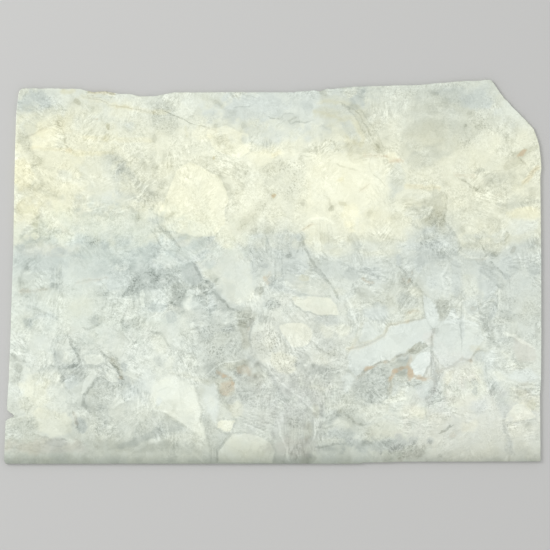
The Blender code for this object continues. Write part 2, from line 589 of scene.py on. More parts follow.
clouds(
    (60, 160, 60, 60, 0, 4), (64, 174, 8, 7, 0, -4), (34, 396, 16, 26, 0, 4),
    (302, 244, 9, 7, 4, 4), (386, 246, 70, 5, 0, -3), (98, 182, 20, 34, 0, -6),
    (29, 126, 9, 9, -8, -6), (28, 212, 12, 14, 0, 5), (46, 122, 26, 16, 0, 5),
    (252, 122, 32, 15, 0, 4), (277, 243, 26, 8, 3, 4), (204, 132, 12, 8, 8, 4),
    (238, 145, 22, 12, 3, 0, 0, 30), (280, 108, 90, 16, 0, 0, 0, 0, 0.5),
    (292, 131, 40, 16, 0, 0, 0, 0, 0.6), (297, 160, 9, 8, 9), (252, 198, 13, 15, 8),
    (229, 165, 12, 10, 7), (340, 147, 12, 6, -8, -3), (358, 159, 10, 4, -9),
    (270, 152, 14, 6, 6, 3), (25, 100, 30, 16, -7), (290, 108, 75, 30, -3, -6, 0, 8),
    (316, 133, 22, 9, -6, -3), (345, 110, 30, 40, -6, 2), (470, 96, 30, 12, -4, -3),
    (520, 110, 22, 18, 5, -3), (345, 185, 40, 40, 7, 2), (140, 180, 24, 22, -8, -2, 0, -40),
    (152, 198, 17, 9, -13), (120, 225, 60, 20, -6, -4), (438, 225, 24, 36, -5, -2),
    (505, 182, 22, 10, -10), (60, 262, 70, 18, -7, -1), (37, 294, 20, 9, -8),
    (160, 288, 52, 22, -12, -3, 0, -8), (215, 305, 26, 30, -7, -2, 0, -45),
    (228, 345, 40, 30, -14, -1), (225, 385, 34, 18, -12), (268, 407, 26, 12, 5),
    (318, 385, 32, 20, -12, -1), (312, 325, 22, 18, -3), (352, 375, 18, 60, -4),
    (372, 384, 26, 20, -5, -2), (345, 430, 34, 22, -9), (95, 385, 40, 40, -11, -1),
    (110, 425, 50, 25, -8, 0, 0, 15), (40, 370, 34, 22, -4), (45, 430, 40, 22, -6),
    (165, 430, 30, 20, -5), (440, 365, 30, 60, -2, -2), (505, 265, 36, 26, -3, -1),
    (485, 262, 50, 12, 0, 0, 0, 0, 0.6), (60, 262, 55, 18, 0, 0, 0, 0, 0.6),
    (520, 320, 30, 50, -5, -1), (405, 295, 26, 22, -7, 2), (80, 186, 70, 44, -6),
    (90, 325, 80, 22, -3))
cloud(450, 118, 46, 34, turn=5, tone=-8, yellow=-1, ragged=0.25)
clouds((80, 280, 130, 60), (130, 235, 110, 30), warmth=-1.2)
clouds((272, 402, 46, 32, -9, -2), (295, 432, 30, 34, -12, -2), warmth=1)
cloud(300, 350, 60, 50, warmth=1.3)
clouds((50, 250, 30, 7, 4, 4), (450, 368, 26, 22), warmth=2)
cloud(480, 440, 90, 50, warmth=2.2)
cloud(295, 447, 20, 9, warmth=2.5)
cloud(50, 447, 46, 8, warmth=3)
print("ground tone", marble["tone"].min().round(), "to", marble["tone"].max().round())

# %% [markdown]
# The upper left is cream, with a cool grey corner, a long ochre vein that turns into
# a thin dark crack, and a dark diagonal band with a white hairline across it.

# %% Upper left
clouds(
    (33, 101, 16, 11, -5, -5), (42, 106, 26, 14, -5, -4), (26, 107, 9, 6, -9, -2),
    (69, 91, 9, 3, -5, 9), (58, 108, 16, 4, -7), (86, 128, 17, 8, -6, -2, 0, 0, 0.4),
    (120, 112, 14, 12, 3, 4, 0, 0, 0.6), (183, 111, 9, 9, 9), (130, 126, 8, 7, -3, -3, 0, -20),
    (26, 144, 14, 6, -14, -2, 0.5, -62), (22, 175, 10, 16, 2, 5), (36, 187, 7, 5, -9, 0, 0.4),
    (45, 184, 7, 4, -8), (63, 172, 7, 4, -9, -2, 0, -35), (72, 183, 14, 8, 5, 1, 0, -20),
    (84, 196, 6, 3, 8, 0, 0, 20), (108, 157, 10, 7, -8, -2, 0.3, -30),
    (125, 171, 10, 7, -7, -3, 0.4, -55), (114, 164, 15, 12, -7, -3, 0, -40),
    (118, 198, 24, 6, -4, -4), (148, 174, 7, 6, 6), (154, 163, 7, 2.8, -14, 0, 0, -50))
cloud(96, 118.5, 2, 1.4, rust=0.3, tone=-6)
bands(
    (6, -5, -5, 0, 31, 91, 38, 97, 48, 104), (2.5, -8, 0, 0.08, 72, 96, 78, 103, 87, 111),
    (5, -8, 0, 0, 70, 93, 72, 102), (2.0, -7, 4, 0.14, 117, 106.5, 132, 108.2),
    (2.2, -7, 0, 0.15, 88, 117, 96, 118.5), (4.5, -11, -1, 0, 34, 166, 38, 174, 42, 183),
    (7, -13, -2, 0, 40, 190, 50, 196, 62, 197), (3, -7, 0, 0, 43, 176, 57, 179, 68, 182))
band([(120, 160), (127, 171), (137, 183), (149, 192)], 9, tone=-10, yellow=-2, ragged=0.3)
patches((4, 4, 3, 30, 136, 38, 131, 48, 127, 56, 127, 57, 136, 52, 146, 34, 147))
spots(
    (78, 102.5, 3.5, 2.6, -24, 2), (93, 107, 2.2, 1.5, -16), (77, 120.5, 2, 1.4, -16),
    (107, 126.5, 1.8, 3.6, -24, 4, 0, -8), (107, 136.5, 2, 4.4, -16, 3, 0, 8),
    (131, 124, 3.5, 3, -9, -2), (127, 130, 3.5, 1.8, -9, 0, 0, -30), (60, 123, 3, 4, -12),
    (61, 145, 4, 4, -10, -2), (29, 152, 2.4, 5, -12, 0, 0, 20), (22, 139, 2, 4, -12, 0, 0, 20),
    (145, 167, 6, 2.6, -10, 0, 0, -45), (166, 156, 3, 6, -9, 0, 0, -20))
spots((39, 160, 6, 4, -17, 0, 0, -50), (32, 195, 3, 6, -9, 0, 0.1), speckle=0.3)
spot(26, 188, 6, 4, -10, yellow=1, speckle=0.4)
veins(
    (2.4, 24, 8, 0.3, 90, 92.5, 100, 92, 113, 93.5),
    # ochre vein
    (1.2, 9, 4, 0.14, 84, 97, 98, 100, 112, 105, 120, 107, 130, 108, 142, 109.5, 152, 112),
    (1.7, 10, 0, 0.14, 57, 121, 60, 127, 63, 132, 66, 137, 67, 144, 69, 151))
hairs(
    (1.5, 9, 0, 0.2, 27, 136, 36, 132, 44, 128, 49, 126),
    (1.2, 3, 4, 0.14, 32, 148, 44, 149, 58, 149, 70, 151),
    (1.1, 2, 4, 0.09, 84, 137, 100, 138, 124, 139, 150, 141),
    (1.2, 1, 5, 0.03, 68, 152, 92, 154, 112, 153),
    (1.2, -15, 0, 0, 116, 176, 117, 170, 120, 166, 126, 161),
    (1.2, -12, 0, 0, 126, 199, 138, 195, 146, 187, 154, 180))
report("upper left")

# %% [markdown]
# Next to the right, a round grey mottled lump hangs from the vein, and below it lies
# the largest cream clast, with a chain of grey spots down its right side.

# %% Upper middle left
for x, y in ((237, 165), (244, 166), (238, 171), (245, 173), (240, 176), (235, 173)):
    spot(x, y, 1.6, 1.4, -13)
for x in (262, 266, 270):
    hair([(x, 141), (x + 0.4, 150)], 1.3, 12)
clouds(
    (190, 100, 12, 7, 6, -1), (191, 114, 8, 9, -3, 0, 0.4), (252, 108, 34, 13, -5, -6),
    (212, 117, 8, 5, -8, -4, 0.4), (230, 116, 9, 6, -7), (262, 135, 18, 14, -6, -5),
    (243, 141, 4, 3, -7), (163, 170, 12, 8, -5, 2, 0, 30), (163, 184, 8.5, 4.5, -17, 0, 0.3, 42),
    (206, 162, 9, 7, -6, 0, 0.6), (241, 172, 8, 9, -6, 0, 0.5), (219, 153, 9, 5, 7),
    (288, 154, 9, 5, 6, 0, 0, 0, 0.7), (285, 178, 24, 25, 0, -1, 0.6),
    (286, 180, 14, 16, -3, 0, 0.6), (258, 202, 10, 13, 1, 0, 0.5), (246, 163, 11, 22, 6),
    (262, 157, 13, 7, 5, 3))
cloud(164, 118, 14, 17, speckle=0.8, ragged=0.2)
cloud(160, 112, 10, 3, yellow=7, rust=0.05)
bands(
    (5, -9, 1, 0, 203, 97, 212, 100, 220, 104, 227, 111, 234, 112),
    (2.4, -9, 0, 0, 190, 133, 191, 146), (2, -3, 4, 0, 186, 127, 187, 136))
clasts(
    # mottled
    (-10, -1, 149, 104, 158, 101, 168, 101, 174, 110, 178, 118, 180, 127, 173, 135, 163, 134, 155,
     129, 151, 119),
    # arc
    (5, 3, 205, 131, 216, 127, 226, 126, 236, 131, 248, 135, 251, 142, 249, 153, 240, 158, 225,
     154, 213, 147),
    # great cream
    (7, 3, 189, 162, 197, 164, 203, 168, 212, 172, 220, 178, 224, 188, 229, 198, 226, 210, 224,
     222, 215, 236, 198, 236, 182, 233, 166, 231, 159, 222, 158, 212, 164, 203, 165, 197, 170,
     187, 176, 173, 182, 166))
spots(
    (154, 138.5, 1.8, 4.6, -19, 0, 0, -14), (219, 103.5, 5, 1.6, -12, 0, 0, -35),
    (243, 126, 3, 2.4, -16), (216, 126, 1.8, 1.8, -16), (220, 139.5, 4, 3.6, -20),
    (226.5, 140.5, 4, 2.6, -13), (229, 147, 3.2, 2, -18), (216, 138, 1.6, 1.6, -14),
    (243, 139, 2.4, 2, -10), (214.5, 157, 1.3, 1.2, -26, 8, 0.6), (217, 171, 4, 2, -21, 0, 0, -20),
    (221, 178, 3, 2.4, -14), (233, 193, 3.2, 2, -14), (223.5, 169, 1.3, 1.3, -10, 0, 0.25),
    (242, 185, 3.2, 2.4, -14), (274, 196, 1.8, 1.8, -26, 10, 0.7))
spot(268, 170, 6, 6, -8, speckle=0.3)
spot(227, 187, 5, 3.4, -17, turn=-40, speckle=0.5)
veins(
    (1.3, 22, 0, 0, 166, 112, 178, 118, 186, 121, 193, 124, 203, 127),
    (1.6, 5, 5, 0.16, 273, 156.5, 279, 153))
hairs(
    (1.4, 7, 0, 0.16, 203, 127, 209, 129, 216, 131), (1.2, 12, 0, 0, 235, 107, 248, 107),
    (1.2, 8, 0, 0, 182, 173, 190, 179), (1.2, -8, 0, 0, 205, 196, 213, 189))
report("upper middle left")

# %% [markdown]
# The top of the middle is cool and grey-blue, with a wiggly dark crack. An olive
# diagonal crosses down to the right, and under it lies a second great cream clast.

# %% Upper middle right
olive_diagonal = [(352, 109), (358, 114), (363, 121), (368, 129), (371, 136), (376, 143)]
band(olive_diagonal + [(380, 149)], 10, tone=-12, yellow=1, ragged=0.3)
vein(olive_diagonal + [(381, 151)], 1.6, 15)
clouds(
    (290, 119, 17, 7, -8, -1, 0.5, -12), (308, 106, 6, 5, -6, -3, 0.6), (330, 100, 16, 4, -2, 4),
    (336, 114, 30, 24, 0, 0, 0, 0, 0.8), (356, 103, 7, 7, -10, -4),
    (385, 133, 7, 9, -10, 0, 0, 0, 0.5), (378, 126, 7, 5, -7, 1), (326, 113, 16, 6, -5, 5),
    (364, 147, 19, 8, -16), (350, 141, 9, 6, -3, 4), (341.5, 179.5, 3, 2, -3, 7),
    (393, 156, 8, 6, 6, 4, 0, 0, 0.6), (396, 179, 8, 16, -9, -5), (392, 193, 5, 6, -7, -3),
    (405, 199, 4, 7, -10, 0, 0, -30))
bands(
    (1.8, -7, 0, 0, 306, 123.5, 314, 125.5, 332, 126),
    (3, -2, 5, 0, 317, 103, 330, 101, 348, 104, 360, 108),
    (3, -3, 5, 0, 314, 112, 326, 113, 338, 118, 345, 124),
    (3, -11, 0, 0.1, 302, 151, 310, 150, 320, 152))
patches(
    # mauve
    (4, -7, -6, 338, 120, 348, 121, 356, 127, 361, 136, 358, 142, 350, 139, 343, 131))
patches(
    # second cream
    (4, 4, 1, 305, 158, 318, 154, 336, 152, 350, 157, 366, 159, 378, 160, 387, 166, 390, 180, 389,
     200, 391, 219, 380, 231, 352, 235, 322, 231, 309, 222, 306, 205, 309, 190, 304, 175),
    calm=0.5)
spots(
    (324, 94, 4, 3, -16, 3, 0, -30), (362, 93, 4.5, 5, -14, -3), (368, 116, 2.2, 2, -17, 0, 0.1),
    (300.5, 158, 1.6, 3, -19))
veins(
    (1.5, 9, 0, 0, 282, 117, 285, 114, 289, 113, 293, 115, 295, 119),
    (1.8, 18, 0, 0, 271, 118, 276, 118.5, 281, 119),
    (1.7, 12, 0, 0, 295, 119, 289, 120, 290, 124, 297, 123, 303, 123.5, 310, 122),
    (2.8, 17, 0, 0.05, 344, 105, 350, 109),
    (2, 4, 5, 0, 338, 120, 348, 118, 357, 124, 363, 136, 360, 145),
    (1.6, 11, 0, 0, 316, 148, 322, 143, 328, 140, 333, 142, 336, 149),
    (1.7, 12, 0, 0, 336, 165, 344, 167, 354, 169.5), (1.3, 9, 0, 0.25, 366, 155.5, 386, 155.5))
hairs(
    (1.4, 9, 0, 0, 362, 112, 370, 124, 377, 135, 384, 149),
    (1.4, 10, 0, 0, 350, 112, 357, 121, 364, 131), (1.2, 10, 0, 0.25, 361, 190, 369, 184),
    (1.3, 11, 0, 0, 375, 176, 380, 180, 384, 185), (1.3, 7, 0, 0, 371, 158, 368, 166, 371, 173),
    (1.4, 5, 0, 0.25, 386, 155.5, 393, 157.5, 399, 160),
    (1.5, 5, 0, 0.35, 391, 162, 398, 161, 403, 160.5),
    (1.0, 3, 5, 0.2, 407, 185.5, 420, 186.5, 438, 188))
report("upper middle right")

# %% [markdown]
# The upper right is one large olive-grey mass of fine grains. A brown lens with a
# rust streak points at the curve of the broken corner.

# %% Upper right
clouds(
    (440, 120, 50, 34, 0, 0, 0, 0, 0.6), (448, 120, 44, 34, 0, 0, 0.45), (432, 133, 22, 14, -3, 1),
    (425, 157, 22, 9, -9, -3, 0, 20), (414, 147, 7, 7, -8, -1), (474, 101, 14, 9, -3, -5),
    (484, 111, 8, 6, 6), (449, 153, 8, 6, 6), (487, 141, 15, 12, 7), (463, 140, 13, 7, 3, 0, 0.4),
    (508, 140, 6, 6, -6, 0, 0.5), (481, 189, 7, 5, -8, 0, 0.2), (462, 181, 9, 6, 7, 0, 0, 0, 0.5),
    (500, 178, 15, 6, -8, -1, 0, 10), (504, 190, 4, 7, -7), (520, 200, 18, 5, -9, -2, 0.3),
    (532, 195, 4, 7, -9), (517, 188, 7, 5, 4, 2), (440, 194, 8, 5, -9),
    (410, 180, 6, 3, -3, 0, 0.5))
cloud(513, 161, 5, 4, rust=0.12)
cloud(521, 154.5, 7, 2.8, turn=32, tone=-14, rust=0.75, yellow=4)
patches(
    # olive
    (4, -9, 0, 401, 133, 409, 124, 425, 118, 445, 118, 462, 123, 488, 125, 482, 133, 470, 141,
     460, 149, 448, 157, 438, 163, 424, 169, 408, 166, 401, 150),
    # upper mass
    (6, -6, 0, 408, 90, 430, 88, 452, 86, 470, 96, 464, 112, 446, 116, 424, 116, 410, 110))
chips(
    # brown lens
    (-17, 1, 503, 168, 507, 160, 514, 153, 522, 150, 530, 146, 539, 143, 538, 147, 530, 153, 524,
     160, 516, 167, 506, 171))
spots(
    (466, 126, 1.4, 1.4, -29), (469, 113, 2.4, 2, -17), (435, 94, 2.8, 1.6, -19),
    (444, 103, 5, 3, -10), (431, 110, 6, 3, -9, 0, 0, -60), (509, 122, 3, 4.5, -12),
    (481, 171, 5.5, 2.2, -20, -2, 0, 20), (464.5, 180, 2.8, 1.8, -17, 0, 0.1, -30),
    (490, 184, 4, 4, -10), (497, 194, 3.4, 2, -10, 0, 0.18), (445, 184, 3.4, 2.2, -13))
spot(515, 127, 3, 5.5, -13, speckle=0.3)
veins(
    (2.2, 16, 0, 0, 521, 160, 526, 165, 530, 172), (1.6, 9, 0, 0, 512, 172, 518, 168, 523, 163),
    (1.3, 14, 6, 0.3, 523, 183, 530, 176, 539, 167),
    (2.2, 19, 0, 0, 462, 178.5, 466, 181, 470, 185, 477, 190),
    (1.6, 10, 0, 0, 483, 178, 492, 172, 500, 170), (1.8, 9, 0, 0, 486, 186, 494, 180, 497, 173))
hairs((1.2, 2, 0, 0.25, 455, 174, 474, 176))
report("upper right")

# %% [markdown]
# Left of the middle a light diagonal crosses the cream, and a grey hill with two
# pale chips marks where the band painted brighter and warmer, as painted light, ends
# and the cooler stone begins.

# %% Middle left
for x, y in ((88, 203), (92, 209), (103, 206), (118, 209), (121, 211)):
    hair([(x - 4, y + 1), (x + 5, y - 1)], 1.8, -9)
clouds(
    (79, 203, 7, 9, -9, -3, 0, -10), (82, 212, 8, 6, -7, -2), (78, 220, 2.2, 8, -7, 1),
    (100, 225, 11, 10, 4, 1), (125, 213, 18, 10, -5, -1, 0.3), (137, 214, 3, 8, -8),
    (143, 212, 6, 9, 2, 3), (141, 224, 10, 6, -9, 0, 0.3), (41, 229, 8, 5, -9, -2, 0, -30),
    (34, 240, 14, 7, -12), (92, 238, 11, 5, -8, 1, 0.3), (90, 244, 8, 5, -7, 0, 0.3),
    (119, 244, 12, 7, -9, 0, 0, -15), (102, 243, 10, 6, -7, 0, 0.3),
    (75, 255, 10, 3, -7, -3, 0, -10), (67, 241, 8, 6, 4), (63, 222, 9, 6, 8, 0, 0, 0, 0.8),
    (110, 257, 9, 5, -7, 0, 0.3, -30), (121, 264, 10, 4, -12, -3, 0.3, -25),
    (104, 266, 10, 4, -6, -3, 0, -25))
cloud(112, 235, 8, 3, tone=-6, rust=0.06)
bands(
    (7, 7, 1, 0, 50, 200, 60, 208, 69, 217), (2, -7, 0, 0.08, 36, 239, 36, 247),
    (6, -8, -3, 0, 48, 232, 56, 244, 64, 252))
clasts(
    (6, 3, 23, 238, 26, 235, 30, 236, 31, 240, 27, 242),
    (7, 3, 31, 236, 35, 232, 39, 234, 40, 239, 35, 240))
spots(
    (20, 217, 3, 2, -10, 0, 0.1), (37, 221, 3, 4, -10, 0, 0.08), (20, 247, 6, 3, -16, -3),
    (56, 251, 6, 4, -8, -4))
spot(17, 211, 3, 3, -16, speckle=0.3)
veins(
    # hill
    (4, 8, -2, 0, 22, 237, 27, 230, 33, 225, 38, 218, 43, 224, 48, 230, 59, 232))
report("middle left")

# %% [markdown]
# Below the change the stone is blue-grey. Dark lens outlines stand at the left, a
# straight pinkish hairline crosses, and a dark crumbly cloud ends in a black corner.

# %% Cool stone at the left
for x, y in ((104, 304), (111, 314), (121, 303), (124, 316), (132, 308)):
    hair([(x - 3, y + 6), (x + 1, y), (x + 2, y - 6)], 1.8, 10)
    hair([(x + 1, y + 7), (x + 4, y + 1), (x + 5, y - 5)], 1.6, -8)
clouds(
    (36, 262, 22, 12, -6, -4, 0, -15), (57, 279, 7, 9, -10, -2), (74, 274, 16, 9, 5, -1),
    (100, 292, 7, 5, -7, 0, 0.6), (117, 281, 15, 10, 1, -5), (134, 287, 9, 9, -5, 0, 0.8),
    (152, 286, 12, 5, -13, -3, 0.5), (153, 278, 8, 7, -10, -4, 0.4), (134, 306, 8, 6, -7),
    (148, 265, 7, 9, -7, -5), (144, 268, 20, 12, -4, -4, 0, -25),
    (34, 310, 12, 5, -7, -2, 0.3, -20), (60, 303, 26, 10, 0, 1, 0, -20), (29, 279, 8, 7, -7),
    (84, 306, 12, 10, 3, 2), (112, 310, 14, 14, 0, 0, 0.4), (127, 284, 6, 5, 6),
    (129, 322, 10, 4, -9, 0, 0.4))
cloud(22, 294, 9, 5, tone=-7, rust=0.1, speckle=0.3)
bands((6, -7, -3, 0, 47, 255, 60, 260, 66, 266), (4, -9, 0, 0, 122, 296, 131, 287, 138, 277))
patches(
    # dark corner
    (3.5, -12, -2, 139, 272, 144, 280, 145, 289, 135, 296, 121, 297, 127, 288, 132, 280),
    calm=-0.2)
chips((12, 2, 139, 292, 143, 290, 145, 297, 145, 308, 141, 305, 139, 299))
spots(
    (26, 267, 2.6, 3, -17), (55, 286, 3.5, 2.4, -13), (44, 289, 3, 1.6, -10, 0, 0.12),
    (28, 322, 5, 5, -19, -2))
spot(96, 321, 5, 4, -17, yellow=-2, speckle=0.3)
spot(22, 285, 4, 5, -10, speckle=0.4)
veins(
    (2.4, 12, -2, 0, 53, 269, 52, 277, 53, 285),
    (2.7, 11, 0, 0, 60, 270, 59, 277, 61, 284, 61, 291, 63, 297),
    (2.4, 9, 0, 0, 20, 302, 27, 306, 36, 309, 46, 313, 55, 318),
    (2.7, 10, -3, 0, 30, 325, 32, 319, 40, 316, 49, 315, 56, 319))
vein([(34, 257), (28, 261), (26, 268), (23, 272), (19, 278), (20, 286)], 3.2, 8, speckle=0.4)
hairs(
    (1.9, 7, 0, 0.2, 21, 291, 33, 292, 40, 291, 46, 289),
    (1.3, 7, 0, 0.22, 78, 281.5, 89, 280, 97, 279, 108, 278),
    (1.3, 9, 0, 0, 97, 279, 103, 285, 110, 293))
report("cool stone at the left")

# %% [markdown]
# In the middle a black vein runs down between pale rounded clasts. Small pale chips
# and a bundle of light, sagging lines lie in the dark crumbs to its left.

# %% Middle, left of centre
for side in (0, 11):
    vein([(154 + side, 233), (159 + side, 237), (160 + side, 244), (166 + side, 251)], 1.5, 10)
black_vein = [(194, 264), (197, 271), (201, 280), (209, 284), (213, 291), (218, 297)]
black_vein += [(225, 302), (231, 309), (238, 312)]
vein(black_vein, 2.6, 19)
vein(black_vein[3:6], 5, 13)
clouds(
    (156, 220, 8, 4, -12, -3, 0.3), (190, 243, 16, 8, -7, -2), (183, 238, 7, 4, -7, 2),
    (200, 256, 13, 3.4, -2, -4, 0, 25), (151, 251, 11, 7, -14, -5),
    (208, 287, 7, 6, 3, 0, 0, 0, -0.2), (217, 292, 5, 7, -9, 0, 0, -40),
    (168, 275, 14, 9, -7, -1, 0.5), (178, 262, 4, 5, 6), (182, 257, 8, 5, -8),
    (169, 217, 8, 5, -8), (199, 263, 7, 6, -7), (180, 277, 3, 6, 6, 0, 0, -20),
    (178, 293, 8, 7, -20, 0, 0.7), (176, 303, 7, 6, -19, 0, 0.5),
    (188, 314, 9, 5, -9, 0, 0, 0, -0.5), (204, 292, 6, 8, -4, 0, 0.4), (160, 307, 10, 5, -5, -6),
    (169, 307, 8, 6, -11, 0, 0, 0, -0.6), (155, 319, 6, 3, 6))
cloud(184, 244, 7, 4, tone=8, warmth=2, yellow=4)
bands(
    (4, -18, 1, 0, 171, 216, 175, 213), (3, -8, 0, 0, 150, 229, 158, 232, 168, 231),
    (6, -14, 1, 0, 175, 284, 188, 286, 200, 286, 207, 285),
    (6, -9, 0, 0, 221, 303, 234, 308, 248, 308), (5, -5, -6, 0, 210, 300, 213, 310))
patches(
    (3.5, 6, 4, 152, 203, 163, 203, 165, 209, 160, 216, 153, 212),
    (2.5, 1, 0, 154, 256, 159, 252, 166, 254, 171, 261, 166, 270, 159, 267),
    (2.5, 18, 1, 183, 304, 189, 299, 199, 299, 200, 305, 190, 309, 184, 308),
    (2.5, 14, 0, 150, 290, 158, 289, 167, 297, 167, 303, 158, 305, 150, 300))
patches(
    # blue wedge
    (2.5, -19, -8, 180, 266, 190, 261, 196, 265, 199, 273, 203, 281, 194, 284, 184, 281), calm=0.8)
chips(
    (8, 0, 155, 232, 161, 232, 166, 238, 164, 246, 160, 240),
    (7, 0, 169, 237, 178, 247, 178, 252, 170, 249, 166, 243),
    (-9, -3, 196, 236, 216, 236, 212, 243, 206, 246, 199, 242),
    (12, 1, 186, 291, 197, 286, 202, 293, 191, 297, 185, 295))
spots(
    (202, 217, 5, 4, -10), (168, 218, 3, 2, -12), (161, 227, 3, 3, -10), (181, 310, 4, 4, -17),
    (172, 317, 6, 5, -14, -3))
veins(
    (1.6, 8, 0, 0, 152, 208, 154, 213, 161, 217),
    (2, 15, 0, 0, 168, 232, 172, 238, 176, 243, 181, 250),
    (1.3, 7, 0, 0, 188, 251, 195, 254, 203, 253),
    (2.4, 8, -4, 0, 168, 252, 176, 258, 184, 264, 192, 263),
    (2.4, 15, 0, 0, 211, 285, 215, 281, 219, 279), (1.6, 10, 0, 0, 200, 287, 204, 293, 205, 300),
    (1.4, 10, 0, 0, 158, 292, 164, 296, 169, 301))
hairs(
    (1.2, -12, 0, 0, 153, 316, 160, 311, 170, 306, 176, 301),
    (1.1, -9, 0, 0, 158, 317, 168, 310, 175, 306))
report("middle, left of centre")

# %% [markdown]
# Right of the vein sits a big, smooth, rounded clast, then a crumbly strip with a
# small rust-red curl, and a brown patch at the vein's lower end.

# %% Middle, the rounded clasts
for x, y, low in ((262, 240, 9), (267, 236, 14), (275, 262, 18), (282, 262, 12), (270, 248, 9)):
    vein([(x, y), (x + 0.8, y + low)], 2.2, 11, yellow=-1)
clouds(
    (230, 276, 20, 24, 0, 0, 0, 0, 0.9), (210, 264, 10, 4, -7, -3), (210, 275, 8, 5, -8, 2),
    (233, 272, 14, 10, 2, -1), (257, 268, 6, 12, -7, -2, 0.4), (261, 254, 9, 8, -6, 0, 0.4),
    (240, 228, 6, 4, -6, 0, 0.4), (262, 217, 8, 6, 8), (261, 280, 6, 12, 4, 2),
    (254, 296, 7, 5, 5, 2), (271, 305, 8, 7, -13, -3, 1.0), (282, 303, 5, 8, 2, 0, 0.5),
    (262, 320, 8, 7, -9, 0, 0, 0, -0.7), (222, 306, 10, 7, -10, -1, 0.3, -35),
    (278, 284, 7, 9, -3, -4, 0, -40))
cloud(229, 254, 7, 3, tone=-2, rust=0.05)
cloud(246, 319, 7, 6, rust=0.06, speckle=0.3)
bands(
    (4, -8, 1, 0, 233, 238, 242, 245, 248, 253, 250, 262),
    (1.8, -9, 0, 0, 233, 209, 233, 218, 236, 224), (8, -9, 3, 0, 240, 324, 243, 332, 246, 345))
patches(
    # rounded
    (3, 5, 3, 197, 262, 206, 253, 215, 246, 228, 243, 241, 248, 248, 261, 251, 276, 255, 290, 249,
     301, 236, 304, 226, 298, 219, 290, 213, 283, 204, 276))
patches(
    # brown patch
    (3.5, -20, 2, 236, 315, 240, 311, 251, 310, 257, 315, 254, 322, 247, 330, 238, 326), calm=-0.5)
spots(
    (214, 280, 4, 2, -10, 1), (264, 266, 3, 2.4, -17, -3), (254, 217, 4, 4, -12),
    (254, 230, 4, 3, -14), (259.5, 289, 5, 3.6, -27, 0, 0, 5), (264, 318, 5, 4, -14),
    (273, 281, 4, 5, -13, -3))
spot(243, 222, 5, 4, -12, turn=40, speckle=0.3)
spots((260, 205, 5, 4, -10), (268, 230, 5, 3, -16), speckle=0.4)
veins(
    (1.5, 9, -2, 0, 251, 252, 253, 258, 252, 266), (1.4, 8, 0, 0.25, 264, 279, 269, 276, 270, 272),
    (1.5, 6, 0, 0.2, 264, 279, 267, 282), (1.3, 8, 0, 0.2, 268, 283, 272, 281),
    (2.4, 10, 0, 0, 249, 326, 254, 318, 256, 313))
hairs((1.6, -8, 0, 0, 215, 238, 219, 229, 227, 221))
report("middle, the rounded clasts")

# %% [markdown]
# A second black vein falls to the right of the centre, out of a blue-grey field.
# Below it a cream lens has a sharp dark lower edge.

# %% Middle, right of centre
for x in (315, 319, 326, 330):
    vein([(x, 222), (x + 1, 231), (x + 2, 241)], 1.7, 6)
for x in (314, 317, 320):
    hair([(x, 240), (x + 2, 256)], 1.7, -9)
clouds(
    (287, 247, 19, 16, -8, -4, 0.2), (297, 266, 10, 9, -5, -9), (288, 273, 8, 8, -7, -3, 0, -40),
    (315, 263, 7, 5, -9, 1, 0, -35), (314, 285, 13, 8, 5, 2, 0.2, 0, 0.5),
    (328, 320, 14, 5, -11, -4), (302, 287, 8, 5, -8), (310, 229, 8, 7, 7, 2),
    (338, 217, 6, 6, -6, 0, 0.7), (374, 220, 19, 11, -2, 2, 0.3), (351, 215, 8, 14, 5, 5),
    (378, 240, 20, 5, -7, 0, 0, -12), (371, 271, 9, 6, -8, -3), (352, 276, 10, 6, -9, -3, 0, -15),
    (333, 270, 14, 10, -3, -1), (318, 262, 16, 4, -3, 0, 0.4), (375, 300, 22, 8, -7, 1, 0.4, -10),
    (377, 314, 12, 9, -5, -7), (355, 306, 6, 10, 7, 1), (341, 291, 7, 4, 1, 3))
cloud(325, 284, 5, 6, turn=-40, tone=-5, rust=0.12)
bands((2.8, -20, 0, 0.45, 363, 279, 368, 283, 373, 284))
patches(
    # green oval
    (2.5, -15, -2, 350, 231, 355, 231, 361, 238, 362, 247, 358, 251, 351, 248, 349, 240))
clasts(
    # lens
    (7, 4, 291, 297, 303, 296, 318, 298, 330, 299, 336, 306, 339, 315, 329, 316, 315, 314, 304,
     310, 295, 305))
spots(
    (289, 256.5, 3, 1.6, -29, 0, 0.1), (303, 278, 5, 4, -8, 5, 0.06), (325, 238, 4, 4, -10),
    (301, 236, 5, 4, -12, -3), (303, 204, 2.2, 3, -19, 0, 0.15), (331, 208, 2.2, 2.6, -29),
    (342, 204, 5, 2.6, -20, 2), (369, 213, 2.6, 2.4, -16), (395, 217, 5, 3, -10),
    (398, 259, 2.4, 6, -10, -5), (357, 290, 5, 3, -17, 0, 0.1, -50),
    (362, 295, 4, 3, -12, 0, 0.06), (353, 314, 6, 6, -9, -2))
spot(388, 287, 5, 6, -9, speckle=0.3)
veins(
    # second vein
    (2.4, 19, 0, 0, 302, 238, 304, 246, 307, 252, 311, 260, 316, 267, 321, 273, 327, 281, 333,
     288, 337, 296), (2, 14, 0, 0, 301, 240, 299, 246, 297, 252),
    (2.6, 12, 0, 0, 307, 268, 313, 270, 319, 273, 324, 279),
    (1.6, 10, 0, 0, 292, 302, 297, 307, 305, 312, 317, 315, 333, 316),
    (4, 8, -4, 0, 272, 284, 282, 288, 293, 292, 305, 297),
    (1.6, 16, 0, 0.3, 303, 229.5, 308, 226.5, 313, 224),
    (1.7, 10, 0, 0.08, 323, 195, 329, 200, 331, 207), (2.4, 6, 0, 0, 348, 240, 349, 231, 353, 227),
    (1.6, 9, 0, 0, 384, 238, 391, 240, 401, 241), (1.3, 6, 0, 0, 370, 233, 380, 237, 395, 238),
    (2.7, 9, -2, 0, 340, 262, 350, 267, 358, 271, 364, 273),
    (3.2, 11, -3, 0, 366, 268, 371, 273, 377, 277), (2.4, 7, 0, 0, 345, 302, 347, 314, 349, 325))
